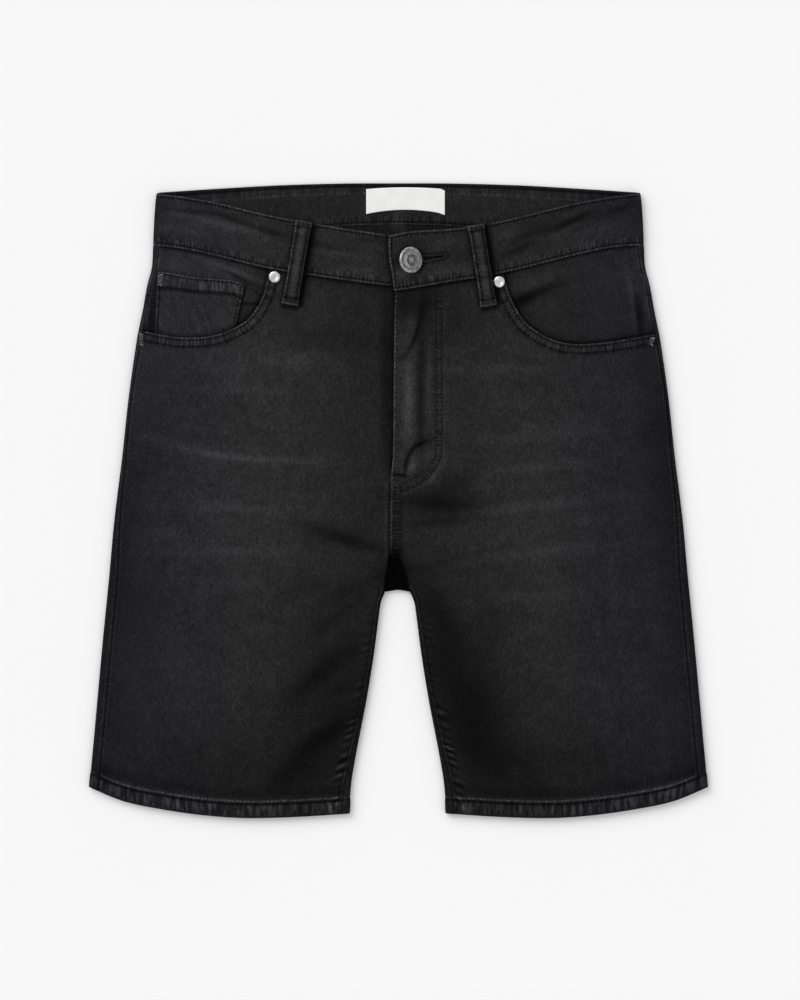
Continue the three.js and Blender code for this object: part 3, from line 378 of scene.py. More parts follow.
side_half = reader(SIDE, "y", "half")
side_seam_in = reader(SIDE, "y", "seam_in")
inner_gap = reader(INNER, "y", "gap")
inseam_in = reader(INNER, "y", "seam_in")
hem_y = reader(HEM, "x", "y")
centre_left = reader(CENTRE_FRONT, "y", "left")
centre_right = reader(CENTRE_FRONT, "y", "right")
hollow_x = reader(FORK_HOLLOW, "y", "x")
hollow_half = reader(FORK_HOLLOW, "y", "half")
overlap_end = reader(OVERLAP_END, "y", "x")
yoke_y = reader(YOKE, "x", "y")
coin_rise = reader(COIN_RISE, "u", "rise")
band_low = {s: reader(BAND[s], "x", "low") for s in BAND}
band_high = {s: reader(BAND[s], "x", "high") for s in BAND}


def spline(points, count):
    """Points of an even, smooth curve through a short list of points."""
    p = np.array(points, float)
    p = np.vstack([2 * p[0] - p[1], p, 2 * p[-1] - p[-2]])
    out = []
    for i in range(1, len(p) - 2):
        for t in np.linspace(0, 1, count, endpoint=False):
            a, b, c, d = p[i - 1], p[i], p[i + 1], p[i + 2]
            out.append(0.5 * (2 * b + (c - a) * t + (2 * a - 5 * b + 4 * c - d) * t * t
                              + (3 * b - a - 3 * c + d) * t**3))
    out.append(p[-2])
    return np.array(out)


def beside(line, x, y):
    """Signed distance from a line, plus to its left, and the distance run along it."""
    shape = np.shape(x)
    x, y = np.ravel(x), np.ravel(y)
    nearest = np.full(x.shape, 1e6)
    side = np.ones(x.shape)
    run = np.zeros(x.shape)
    gone = 0.0
    for a, b in zip(line[:-1], line[1:]):
        d = b - a
        long = math.hypot(*d)
        k = np.clip(((x - a[0]) * d[0] + (y - a[1]) * d[1]) / long**2, 0, 1)
        far = np.hypot(x - a[0] - k * d[0], y - a[1] - k * d[1])
        closer = far < nearest
        turn = d[0] * (y - a[1]) - d[1] * (x - a[0])
        nearest = np.where(closer, far, nearest)
        side = np.where(closer, np.sign(turn), side)
        run = np.where(closer, gone + k * long, run)
        gone += long
    return (nearest * side).reshape(shape), run.reshape(shape)


def offset(line, by):
    """A line moved to its left."""
    way = np.gradient(line, axis=0)
    way /= np.linalg.norm(way, axis=1)[:, None]
    return line + by * np.stack([-way[:, 1], way[:, 0]], axis=1)


def creased(rows, x, y):
    """Height and stops of light that a table of creases gives at points."""
    high, stops = np.zeros(np.shape(x)), np.zeros(np.shape(x))
    for i in range(len(rows["x"])):
        turn = math.radians(rows["turn"][i])
        dx, dy = x - rows["x"][i], y - rows["y"][i]
        along = (dx * math.cos(turn) + dy * math.sin(turn)) / rows["long"][i]
        across = dy * math.cos(turn) - dx * math.sin(turn)
        if "bow" in rows:
            across = across - rows["bow"][i] * along**2
        share = np.exp(-(along**2) - (across / rows["wide"][i]) ** 2)
        high += rows["high"][i] * share if "high" in rows else 0
        stops += rows["stops"][i] * share if "stops" in rows else 0
    return high, stops


def uneven(run, length, seed):
    """Ripples along a seam, from -1 to 1, with uneven lengths and depths."""
    k = 2 * math.pi / length
    wander = 1.7 * np.sin(run * k * 0.131 + seed) + 1.1 * np.sin(run * k * 0.057 + 2.3 * seed)
    depth = 0.62 + 0.38 * np.sin(run * k * 0.213 + 1.9 * seed)
    return depth * np.sin(run * k + wander) * (0.8 + 0.2 * np.sin(run * k * 0.47 + seed))


def rolled(d, radius=0.9):
    """How far a turned edge falls away, at a distance in from it."""
    k = np.clip(1 - d / radius, 0, 1)
    return -radius * 0.8 * (1 - np.sqrt(1 - k * k))


# Plain cloth surfaces
def inner_x(s, y):
    return LEGS_X + s * inner_gap(y)


def inner_distance(s, x, y):
    nearest = np.full(np.shape(x), 1000.0)
    for ya, yb in zip(FORK_STEPS[:-1], FORK_STEPS[1:]):
        xa, xb = inner_x(s, ya), inner_x(s, yb)
        k = np.clip(((x - xa) * (xb - xa) + (y - ya) * (yb - ya)) / ((xb - xa) ** 2 + (yb - ya) ** 2), 0, 1)
        nearest = np.minimum(nearest, np.hypot(x - mix(xa, xb, k), y - mix(ya, yb, k)))
    return np.where(y < -96, s * (x - inner_x(s, y)), nearest)


def over_fold(d, radius):
    k = np.clip(d, 0, radius)
    return radius + np.sqrt(np.maximum(0, radius**2 - (radius - k) ** 2))


def fly_lift(s, x, y):
    if s < 0:
        return 0 * x
    return FLY_LIFT * smooth((y - 6) / 24) * (1 - smooth((x - 14) / 32))


def front_top(s, x, y):
    """Outside of the plain front layer."""
    d = np.minimum(side_half(y) - s * x, inner_distance(s, x, y))
    cloth = over_fold(d, FOLD_RADIUS) + LOFT * smooth(d / LOFT_REACH)
    cloth = cloth + creased(FOLDS, x, y)[0] * smooth((d - 3) / 12)
    into = (hollow_half(y) - np.abs(x - hollow_x(y))) / HOLLOW_WALL
    hollow = np.where(y < -34, smooth(into) * (cloth - HOLLOW_FLOOR_Z), 0)
    return cloth - hollow + fly_lift(s, x, y)


def row_y(row, x, upper):
    hem = 1 - smooth((row - HEM_ROW) / HEM_BLEND)
    waist = smooth((row - WAIST_BLEND_ROW) / (WAIST_ROW - WAIST_BLEND_ROW))
    return row + hem * (hem_y(np.abs(x)) - HEM_ROW) + waist * (upper - WAIST_ROW)


def yoke_seam(x):
    """Place of the yoke's seam across the back."""
    x = np.abs(x)
    return row_y(YOKE_ROW, x, band_low[0](x) - SEWN_GAP) + yoke_y(x) - YOKE_ROW


def front_edge_x(s, y):
    """Centre edge of a front, drawn out below the fork to the inseam."""
    centre = centre_left(np.maximum(y, FORK_Y)) if s > 0 else centre_right(np.maximum(y, FORK_Y))
    return mix(centre, inner_x(s, y) + s * inseam_in(y), smooth((FORK_Y - y) / 60))


def hem_distance(x, y):
    return y - hem_y(np.abs(x))


def side_distance(s, x, y):
    """Distance of a point of the front layer in from the side seam."""
    return side_half(y) - side_seam_in(y) - s * x


def thickness(hem):
    """Thickness of a panel, at a distance above its hem line."""
    return mix(CLOTH, HEM_WALL, 1 - smooth((hem - HEM_DEPTH + 1) / 1.5))


def leg_edge(s, x, y):
    """Distance of a point inside a front's cut edge at the fork and down the inseam."""
    return np.maximum(y - FORK_Y, s * (x - inner_x(s, y)) - inseam_in(y))


MOUTH_LINE = {s: spline(MOUTH[s], 14) for s in MOUTH}
FLY_LINES = [spline(row, 8) for row in FLY_ROWS]


def beside_mouth(s, x, y):
    """Distance below the pocket mouth, and the distance run along it from the waistband."""
    d, run = beside(MOUTH_LINE[s], x, y)
    return -s * d, run


FIELDS = ("edge", "run", "rub", "reach", "crest", "pitch", "row_a", "row_b", "wash_and_shading")
FAR = 99.0


def seam(d, run, rub=1.0, reach=7.0, crest=0.5, pitch=2.2, rows=()):
    """A finished edge: distances in from it and along it, its wear, how far in it is sewn and where its
    bright line lies, the length of its puckers, and its rows of stitches."""
    row_a, row_b = (*rows, -FAR, -FAR)[:2]
    return {"edge": d, "run": run, "rub": rub, "reach": reach, "crest": crest, "pitch": pitch,
            "row_a": row_a, "row_b": row_b}


def worn(*seams):
    """The fields of the nearest of several finished edges."""
    least = np.full(np.shape(seams[0]["edge"]), FAR)
    found = {}
    for one in seams:
        away = np.maximum(np.maximum(-one["edge"], one["edge"] - one["reach"]), 0.01 * np.abs(one["edge"]))
        closer = away < least
        least = np.where(closer, away, least)
        found = {key: np.where(closer, value, found.get(key, value)) for key, value in one.items()}
    return found


def bump(d, breadth):
    return np.exp(-((d / breadth) ** 2))


def toned(tones, **away):
    """Stops of light from bands of tone, at distances from the edges that they name."""
    return sum(stops * bump(away[edge] - middle, breadth) for edge, middle, breadth, stops in tones)


def sunk(*distances):
    """Depth of the grooves that rows of stitches pull into the underside."""
    return UNDER_GROOVE * np.max([bump(d, 0.85) for d in distances], axis=0)


def seam_relief(d, rows, run, seed, puff=0.3, ripple=0.12, length=4.2):
    """A turned and topstitched edge: a puffed double layer, sewn down in grooves, with puckers."""
    last = rows[-1]
    double = 0.25 * (1 - smooth((d - last - 0.2) / 1.6))
    groove = sum(bump(d - row, 0.75) for row in rows)
    inside = smooth((d - 0.3) / 1.2) * (1 - smooth((d - last + 0.2) / 1.5))
    puckers = ripple * uneven(run, length, seed) * bump(d - last * 0.55, last * 0.62)
    return double + puff * inside - 0.3 * groove + puckers


def loop_frame(s, x, y):
    """Place beside a front belt loop: share of the way up it, and distance out from its middle to +X."""
    top, bottom = LOOP_ENDS[s]
    long = math.dist(top, bottom)
    way = ((top[0] - bottom[0]) / long, (top[1] - bottom[1]) / long)
    dx, dy = x - bottom[0], y - bottom[1]
    return (dx * way[0] + dy * way[1]) / long, dx * way[1] - dy * way[0]


def loop_shade(x, y):
    """Shade on the cloth round the front belt loops, stronger on the side away from the light."""
    stops = 0 * x
    for s in LOOP_ENDS:
        up, out = loop_frame(s, x, y)
        on = smooth((up + 0.03) / 0.06) * smooth((1.02 - up) / 0.06)
        half = LOOP["wide"] / 2
        stops = stops - on * (3.4 * bump(out - half - 0.9, 2.0) + 0.8 * bump(out - half - 3, 3))
        stops = stops - 1.1 * on * bump(out + half + 0.8, 1.3)
        stops = stops - 1.9 * bump((up + 0.03) * 68, 1.6) * smooth((half + 2 - np.abs(out)) / 3)
    return stops


def leg_shade(inseam, y, seed):
    """Ladder of puckers inside the inseam: height, and stops of light."""
    ladder = uneven(y + 0.45 * inseam, 6.8, seed) * bump(inseam - 4.8, 3.8)
    ladder = ladder * (0.22 + 0.78 * bump(y + 206, 32)) * smooth((FORK_Y - 12 - y) / 14)
    return 0.6 * ladder, 4.2 * ladder - 0.8 * bump(inseam - 2.0, 1.1) * (y < FORK_Y)


def fly_finish(x, y, centre):
    """Lapped edge and J of the left front: height, stops of light, and its finished edges."""
    above_fork = y > FORK_Y
    high, wash_and_shading = creased(FLY_FOLDS, x, y)
    ripples = 0.35 * uneven(y, 4.6, 1.0) * bump(centre - 13, 9) * bump(y + 7, 8)
    z = high * smooth(centre / 2.5) + rolled(centre, 1.0) * above_fork + ripples
    for row in FLY_LINES:
        off_row = beside(row, x, y)[0]
        z = z - 0.3 * bump(off_row, 0.8) + 0.1 * uneven(y - x, 4.6, 5.0) * bump(off_row, 3)
    for row in CENTRE_ROWS:
        z = z - 0.25 * bump(centre - row, 0.7) * (1 - smooth((y - 8) / 6)) * above_fork

    beside_j, run_j = beside(FLY_LINES[1], x, y)
    rubbed = 0.55 + 0.45 * uneven(y, 2.7, 5.0)
    low = smooth((6 - y) / 10) * above_fork
    # Painted light on the ripples' raised parts and painted shade along the seam where it turns down into the
    # fork; lighter beside the J's outer row, and worn bright along the lapped edge
    wash_and_shading = wash_and_shading + ripples + 0.4 * bump(beside_j - 1.8, 1.6) * (x > 2)
    wash_and_shading = wash_and_shading + 0.5 * bump(beside_j - 3.4, 3.0) * smooth((44 - y) / 16) * (x > 0)
    wash_and_shading = wash_and_shading + 1.1 * bump(centre - 1.6, 1.4) * rubbed * smooth((y - 16) / 10)
    wash_and_shading = wash_and_shading - (0.5 + 0.9 * bump(y + 44, 16)) * low * bump(centre - 6.2, 4.6)

    lap_reach = np.where(y < CENTRE_SEWN_Y, CENTRE_ROWS[1], 1.0)
    lap = seam(centre + FAR * (y < FORK_Y + 16), y, 1.0, lap_reach, 0.8, 1.4)
    return z, wash_and_shading, [lap, seam(FLY_EDGE - beside_j, run_j, 0.8, FLY_BREADTH, -FAR, 1.4)]


def under_lap(x, y):
    """Stops of light on the right front, in the shade of the lap and along the seam below it."""
    lap = centre_left(np.maximum(y, FORK_Y)) - x
    seam_part = (y < 14) * (y > -52)
    return (smooth((y - 12) / 20) * toned(UNDER_LAP_TONES, lap=lap)
            + seam_part * toned(CENTRE_SEAM_TONES, lap=lap))


def front_skin(s, x, y):
    """Outside of a finished front: height, and the fields of its finish."""
    mouth, mouth_run = beside_mouth(s, x, y)
    hem, side = hem_distance(x, y), side_distance(s, x, y)
    band = band_low[s](x) - GAP - y
    inner = inner_distance(s, x, y)
    inseam = inner - inseam_in(y)
    below = y < FORK_Y + 4
    quiet = smooth((mouth - 7) / 10) * smooth((hem - 12) / 10) * smooth(side / 10)
    high, stops = creased(WHISKERS, x, y)
    trough, trough_shade = creased(TROUGHS, x, y)
    ladder, ladder_stops = leg_shade(inseam, y, 4.0 + s)

    z = front_top(s, x, y) + rolled(np.abs(mouth)) + rolled(hem, 1.2)
    z = z + seam_relief(np.abs(mouth), MOUTH_ROWS, mouth_run, 1.3 + s, 0.3, 0.16, 3.4) * (mouth < 12)
    z = z + seam_relief(hem, (HEM_ROW_IN,), x, 0.4 + s, 0.2, 0.2, 9) * (hem < 16)
    z = z + 0.4 * bump(hem - HEM_CREST, 1.5)
    z = z + (high + trough) * quiet * smooth((inner - 2) / 8) + ladder
    z = z + 0.10 * uneven(y + 0.2 * x, 6.5, 2.0) * bump(side, 7)
    z = z + 0.16 * uneven(x, 5.2, 3.0) * bump(band, 6)

    in_hem = smooth((HEM_ROW_IN - hem) / 2)
    hem_rope = 0.8 * uneven(x, 6.4, 1.7 + s) * smooth(hem / 3)
    # Tone of the front: the whiskers' fade; painted shade in the troughs, round the belt loops and in the
    # bands along edges; the inseam's ladder; a lighter, roped hem band; and darker just above the hem, by the
    # side seam near the hem and just past the pocket mouth's second row
    wash_and_shading = stops * quiet + trough_shade + creased(WASH_AND_SHADING, x, y)[1] + ladder_stops + loop_shade(x, y)
    wash_and_shading = wash_and_shading + toned(FRONT_TONES, hem=hem, band=band, side=side)
    wash_and_shading = wash_and_shading + in_hem * (0.48 + 0.6 * bump(inseam - 8, 12) + hem_rope)
    wash_and_shading = wash_and_shading - 0.5 * (hem > HEM_CREST) * bump(hem - 19, 5) - 0.8 * bump(side - 4, 4) * bump(hem - 16, 5)
    wash_and_shading = wash_and_shading - 0.7 * bump(mouth - MOUTH_ROWS[1] - 1.0, 1.2) * (0.6 + 0.4 * uneven(mouth_run, 23, 1.0))
    seams = [seam(np.abs(mouth), mouth_run, 1.0, MOUTH_ROWS[1], 0.5, 2.0, MOUTH_ROWS),
             seam(hem, x, 1.1, HEM_ROW_IN, HEM_CREST, 4.6, (HEM_ROW_IN,)),
             seam(side, y, 0.6, 0.0, 1.6, 5.0), seam(inseam + FAR * ~below, y, 0.8, 0.0, 0.7, 6.0)]
    if s > 0:
        centre = x - front_edge_x(s, np.maximum(y, FORK_Y + 0.01))
        fly_z, fly_stops, fly_seams = fly_finish(x, y, centre)
        z, wash_and_shading, seams = z + fly_z, wash_and_shading + fly_stops, seams + fly_seams
    else:
        wash_and_shading = wash_and_shading + under_lap(x, y)
    # The hollow where the legs turn down into the fork is painted near-black shade, and the inner fold below
    # the fork is a little darker
    hollow = smooth((hollow_half(y) + 1.2 - np.abs(x - hollow_x(y))) / 2.4)
    black = hollow * smooth((-40 - y) / 10) * (y > -84)
    return z, {**worn(*seams), "wash_and_shading": wash_and_shading - 5.5 * black - 0.3 * bump(inner, 5) * below}


# Meshes
def placed(name, data):
    """A new object in the scene."""
    obj = bpy.data.objects.new(name, data)
    bpy.context.scene.collection.objects.link(obj)
    return obj


def normals_of(p):
    """Directions square to a grid of points."""
    n = np.cross(np.gradient(p, axis=1), np.gradient(p, axis=0))
    return n / np.maximum(np.linalg.norm(n, axis=-1), 1e-9)[..., None]


def clipped(faces, keep, arrays):
    """Cuts a list of faces where keep passes through 0, and returns the faces and the longer arrays."""
    whole = [face for face in faces if np.all(keep[face] >= 0)]
    cut = [face for face in faces if np.any(keep[face] >= 0) and not np.all(keep[face] >= 0)]
    made, new, count = {}, [], len(keep)
    for face in cut:
        out = []
        for a, b in zip(face, np.roll(face, -1)):
            if keep[a] >= 0:
                out.append(a)
            if (keep[a] >= 0) != (keep[b] >= 0):
                key = (min(a, b), max(a, b))
                if key not in made:
                    made[key] = count + len(new)
                    new.append((key, keep[key[0]] / (keep[key[0]] - keep[key[1]])))
                out.append(made[key])
        whole.append(out)
    if new:
        ends = np.array([key for key, _ in new])
        share = np.array([k for _, k in new])
        arrays = [
            np.concatenate([v, v[ends[:, 0]] + (v[ends[:, 1]] - v[ends[:, 0]])
                            * (share[:, None] if v.ndim > 1 else share)])
            for v in arrays
        ]
    return whole, arrays


def wall(name, outer, inner, fields, keep=None):
    """A closed wall of cloth between two grids of points, with a field of numbers at each point."""
    outer[..., 2] = np.maximum(outer[..., 2], 0)
    rows, columns = outer.shape[:2]
    corner = (np.arange(rows - 1)[:, None] * columns + np.arange(columns - 1)).ravel()
    faces = np.stack([corner, corner + 1, corner + 1 + columns, corner + columns], axis=1)
    faces = list(faces)
    arrays = [outer.reshape(-1, 3), inner.reshape(-1, 3)]
    arrays += [np.ravel(values + 0 * outer[..., 0]) for values in fields.values()]
    if keep is not None:
        faces, arrays = clipped(faces, keep.ravel(), arrays)
    used = np.unique(np.concatenate([np.asarray(face) for face in faces]))
    place = np.full(len(arrays[0]), -1)
    place[used] = np.arange(len(used))
    faces = [[int(place[i]) for i in face] for face in faces]
    arrays = [v[used] for v in arrays]
    count = len(used)
    sides = {}
    for face in faces:
        for a, b in zip(face, face[1:] + face[:1]):
            if (b, a) in sides:
                del sides[(b, a)]
            else:
                sides[(a, b)] = True
    skin = faces + [[i + count for i in reversed(face)] for face in faces]
    skin += [[b, a, a + count, b + count] for a, b in sides]
    points = np.concatenate(arrays[:2])
    both = {key: np.concatenate([values, values]) for key, values in zip(fields, arrays[2:])}
    return mesh_object(name, points, skin, both)


def mesh_object(name, points, faces, fields=None, smooth_angle=50):
    """A closed mesh, its faces turned outward, from points in millimetres."""
    mesh = bpy.data.meshes.new(name)
    mesh.from_pydata((np.asarray(points) * MM).tolist(), [], faces)
    mesh.update()
    mesh.calc_loop_triangles()
    corners = np.empty(len(mesh.loop_triangles) * 3, np.int32)
    mesh.loop_triangles.foreach_get("vertices", corners)
    a, b, c = (np.asarray(points)[corners.reshape(-1, 3)[:, i]] for i in range(3))
    if np.einsum("ij,ij->", a, np.cross(b, c)) < 0:
        mesh.flip_normals()
    for field, values in (fields or {}).items():
        mesh.attributes.new(field, "FLOAT", "POINT").data.foreach_set("value", np.asarray(values, np.float32))
    mesh.shade_smooth()
    mesh.set_sharp_from_angle(angle=math.radians(smooth_angle))
    return placed(name, mesh)


def grid(x, y, z):
    return np.stack([x + 0 * z, y + 0 * z, z], axis=-1)


def spaced(low, high, coarse, near_low=(), near_high=()):
    """Values from low to high, coarse apart, and closer at the given distances from each end."""
    a = [low, *(low + d for d in near_low)]
    b = [*(high - d for d in reversed(near_high)), high]
    count = max(2, round((b[0] - a[-1]) / coarse))
    return np.array(a + list(np.linspace(a[-1], b[0], count, endpoint=False))[1:] + b)


EDGE = (0.3, 0.7, 1.2, 1.9, 2.8, 4.0)
FORK_COLUMNS = tuple(np.arange(0.6, 40, 0.95))


def kept(obj, material, slot, *nodes):
    """A finished piece: its material, its place on the body, and the solids it stands for."""
    obj.data.materials.clear()
    obj.data.materials.append(material)
    if nodes:
        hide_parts(*nodes)
    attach(obj, "root")
    return obj


SIDE_NAME = {1: "left", -1: "right"}


def front_grid(s):
    rows = spaced(HEM_ROW, WAIST_ROW, 1.7, HEM_NEAR, EDGE[:3])
    columns = spaced(0, FRONT_NOMINAL, 1.75, FORK_COLUMNS, EDGE[:4]) / FRONT_NOMINAL
    columns, row = np.meshgrid(columns, rows)
    y = row.copy()
    for _ in range(SETTLE):
        xa = front_edge_x(s, y)
        xb = s * (side_half(y) - side_seam_in(y) - SEWN_GAP / 2)
        x = mix(xa, xb, columns)
        y = row_y(row, x, band_low[s](x) - SEWN_GAP)
    return x, y


def front_panel(s):
    x, y = front_grid(s)
    z, fields = front_skin(s, x, y)
    outer = grid(x, y, z)
    inner = outer - s * normals_of(outer) * thickness(hem_distance(x, y))[..., None]
    keep = np.minimum(beside_mouth(s, x, y)[0], leg_edge(s, x, y))
    return wall(f"front_{SIDE_NAME[s]}_cloth", outer, inner, fields, keep=keep)


def fold_arc(seam, arc):
    """Distance in from the fold's edge, and height, at shares of the arc from a seam on top to below."""
    flat = np.maximum(0, seam - FOLD_RADIUS)
    start = np.where(seam < FOLD_RADIUS, np.arccos(np.clip((FOLD_RADIUS - seam) / FOLD_RADIUS, -1, 1)),
                     math.pi / 2)
    long = flat + FOLD_RADIUS * (start + math.pi / 2)
    at = arc * long
    angle = start - np.maximum(0, at - flat) / FOLD_RADIUS
    d = np.where(at < flat, seam - at, FOLD_RADIUS * (1 - np.cos(angle)))
    z = np.where(at < flat, 2 * FOLD_RADIUS, FOLD_RADIUS * (1 + np.sin(angle)))
    return d, z, angle > 0


def under_height(s, x, y, upper_part):
    """Height of the underside where pieces are let into it, and where it has soft creases and sewn rows."""
    z = 0 * x
    if not upper_part:
        outside = polygon_distance(s, x, y)
        below_yoke = yoke_seam(x) - y
        seat = np.where((s > 0) & (y > FORK_Y + 4), x, FAR)
        z = sunk(hem_distance(x, y) - HEM_ROW_IN, *(below_yoke - d for d in DOUBLE_ROWS),
                 *(seat - d for d in DOUBLE_ROWS))
        z = np.maximum(z, (POCKET_WALL + GAP) * (1 - smooth((outside - GAP) / 2.6)))
        z = z + creased(BACK_CREASES, s * x, y)[0] * smooth((outside - 5) / 6)
    for middle in BACK_LOOP["tops"].values():
        above = y - loop_low(middle)
        out = np.maximum(np.abs(x - middle) - BACK_LOOP["wide"] / 2, -above)
        z = np.maximum(z, (BACK_LOOP["wall"] + GAP) * (1 - smooth((out - GAP) / 1.6)) * (above > -6))
    return z


def loop_top(x):
    return band_high[0](abs(x)) - 1.2


def loop_low(x):
    return loop_top(x) - BACK_LOOP["high"]


def polygon_distance(s, x, y):
    """Distance outside the back pocket's outline, minus inside it."""
    line = np.array([(s * px, py) for px, py in BACK_POCKET + BACK_POCKET[:1]], float)
    d = np.abs(beside(line, x, y)[0])
    inside = np.ones(np.shape(x), bool)
    for a, b in zip(line[:-1], line[1:]):
        turn = (b[0] - a[0]) * (y - a[1]) - (b[1] - a[1]) * (x - a[0])
        inside &= turn * s <= 0
    return np.where(inside, -d, d)


FOLD_SHARES = spaced(0, 1, 0.07)
FLAT_COUNT = 66


def back_grid(s, rows, upper_part):
    """Section of half the back at each row: side seam, side fold, flat underside, inner fold or centre."""
    fold = len(FOLD_SHARES)
    count = fold + FLAT_COUNT + fold
    first, flat, last = slice(0, fold), slice(fold, fold + FLAT_COUNT), slice(fold + FLAT_COUNT, count)
    across = np.linspace(0, 1, FLAT_COUNT + 2)[None, 1:-1]
    to_middle = np.arange(fold)[None, :] / (fold - 1)
    row = rows[:, None] + np.zeros((1, count))
    y = row.copy()
    x, z = 0 * y, 0 * y
    legs = (rows < FORK_Y - 0.01)[:, None] & (not upper_part)
    for _ in range(SETTLE):
        half = side_half(y)
        inner = inner_x(s, np.minimum(y, FORK_Y))
        d, high, top = fold_arc(side_seam_in(y[:, first]) - SEWN_GAP / 2, FOLD_SHARES[None, :])
        x[:, first] = s * (half[:, first] - d)
        z[:, first] = np.where(top, front_top(s, x[:, first], y[:, first]), high)
        x[:, flat] = mix(s * (half - FOLD_RADIUS)[:, flat], (inner + s * FOLD_RADIUS)[:, flat], across)
        d, high, top = fold_arc(inseam_in(y[:, last]) - GAP, FOLD_SHARES[None, ::-1])
        x_leg = inner[:, last] + s * d
        z_leg = np.where(top, front_top(s, x_leg, y[:, last]), high)
        x_centre = mix((inner + s * FOLD_RADIUS)[:, last], s * GAP / 2, to_middle)
        x[:, last] = np.where(legs, x_leg, x_centre)
        z[:, last] = np.where(legs, z_leg, 0)
        share = np.clip(z / (2 * FOLD_RADIUS), 0, 1)
        low = mix(band_low[0](np.abs(x)), band_low[s](x), share)
        y = row_y(row, x, low - SEWN_GAP)
        shift = yoke_y(np.abs(x)) - YOKE_ROW
        if upper_part:
            y = y + (1 - smooth((row - YOKE_ROW) / (WAIST_ROW - YOKE_ROW))) * (shift + GAP / 2)
        else:
            y = y + smooth((row - SEAT_ROW) / (YOKE_ROW - SEAT_ROW)) * (shift - GAP / 2)
    return x, y, z


def back_fields(s, x, y, z, upper_part):
    hem, side = hem_distance(x, y), -side_distance(s, x, y)
    inseam = inseam_in(y) - inner_distance(s, x, y)
    top, low = z > 1.5, z < 1.5
    side_part = top * (s * x > SIDE_PART_X)
    # Tone of the back: the front's broad areas; painted shade along the side seam, in the underside's creases
    # and along the hem's edge; darker round the turned-up folds, beside the inseam and by the side seam above
    # the hem; lighter on the seat underneath, on the hem band and up the side
    wash_and_shading = creased(WASH_AND_SHADING, x, y)[1] - 0.2 * top - 0.6 * bump(side, 0.8) * top
    wash_and_shading = wash_and_shading + np.where(top, 0, creased(BACK_CREASES, s * x, y)[1])
    wash_and_shading = wash_and_shading + 0.35 * bump(s * x - 105, 70) * bump(y - 10, 70) * low
    wash_and_shading = wash_and_shading - 0.5 * bump(hem, 1.3) - 0.5 * bump(inseam - 0.6, 0.9) * top * (y < FORK_Y)
    wash_and_shading = wash_and_shading + 0.5 * smooth((HEM_ROW_IN - hem) / 2) - 0.9 * bump(side - 2, 2.4) * bump(hem - 15, 4) * top
    wash_and_shading = wash_and_shading + side_part * (0.3 * smooth((60 - y) / 60) + 0.8 * bump(y - 178, 8))
    seams = [seam(np.where(side_part, side, FAR), y, 0.6, 0.0, 1.3, 5.0)]
    if upper_part:
        # Painted shadow on the yokes' inside where it shows in the waist below the band, except along a strip
        # at the middle
        wash_and_shading = wash_and_shading - 0.85 * smooth((y - 203) / 6) * bump(x, 66) * (1 - bump(x - 1.6, 8.6))
    else:
        seat = np.where((s > 0) & (y > FORK_Y) & ~top, x, FAR)
        seams += [seam(hem, x, 0.9, HEM_ROW_IN, HEM_CREST, 6.0, (HEM_ROW_IN,)),
                  seam(yoke_seam(x) - y, x, 0.7, DOUBLE_ROWS[1], 0.6, 2.6, DOUBLE_ROWS),
                  seam(seat, y, 0.7, DOUBLE_ROWS[1], 0.6, 2.6, DOUBLE_ROWS)]
    # Painted shade: the back is near black where it shows in the fork's hollow
    fork_shade = (y > -84) & (y < -34) & (z > 1.2) & (np.abs(x) < 20)
    return {**worn(*seams), "wash_and_shading": wash_and_shading - 5.0 * fork_shade}


def back_part(s, upper_part):
    """A yoke, or a back from the yoke to the hem."""
    if upper_part:
        name = "yoke"
        rows = spaced(YOKE_ROW, WAIST_ROW, 2.2, EDGE[:3], EDGE[:3])
    else:
        name = "back"
        rows = np.concatenate([spaced(HEM_ROW, FORK_Y - 1.6, 2.6, EDGE + HEM_NEAR),
                               spaced(FORK_Y, YOKE_ROW, 2.6, (), DOUBLE_NEAR)])
    x, y, z = back_grid(s, rows, upper_part)
    fields = back_fields(s, x, y, z, upper_part)
    under = z < 0.05
    hem = hem_distance(x, y)
    outer = grid(x, y, z)
    n = normals_of(outer)
    middle = outer.shape[1] // 2
    n = n * np.sign(-n[:, middle:middle + 1, 2:3])
    outer[..., 2] += under_height(s, x, y, upper_part) * under
    thick = np.full(hem.shape, CLOTH)
    if not upper_part:
        relief = seam_relief(hem, (HEM_ROW_IN,), x, 0.9 + s, 0.2, 0.14, 11) * (hem < 16)
        outer += n * (relief * (~under) * 0.8)[..., None]
        thick = thickness(hem)
    return wall(f"{name}_{SIDE_NAME[s]}_cloth", outer, outer - n * thick[..., None], fields)


# Waistband
def band_top(s, x):
    if s < 0:
        plain = mix(BAND_TOP_Z, UNDERLAP_Z, smooth((x + 48) / 38))
    else:
        plain = mix(OVERLAP_Z, BAND_TOP_Z, smooth((x - 32) / 50))
    return plain - (BAND_TOP_Z - BAND_SIDE_Z) * smooth((np.abs(x) - 150) / 40)


def band_relief(low, high, run, seed):
    """Height of a finished band over its plain face, from the distances to its two edges."""
    near = np.minimum(low, high)
    z = 0.35 * np.sin(np.pi * np.clip(low / (low + high), 0, 1)) ** 0.6 - 0.2
    z = z - 0.28 * bump(near - BAND_ROW, 0.8) + rolled(near, 1.1)
    z = z + 0.16 * uneven(run, 3.6, seed) * bump(low, 6.5)
    return z + 0.12 * uneven(run + 0.3 * near, 4.4, seed + 2) * bump(high, 4.5)


HOLE_LONG = BUTTONHOLE["end"] - BUTTON["x"]


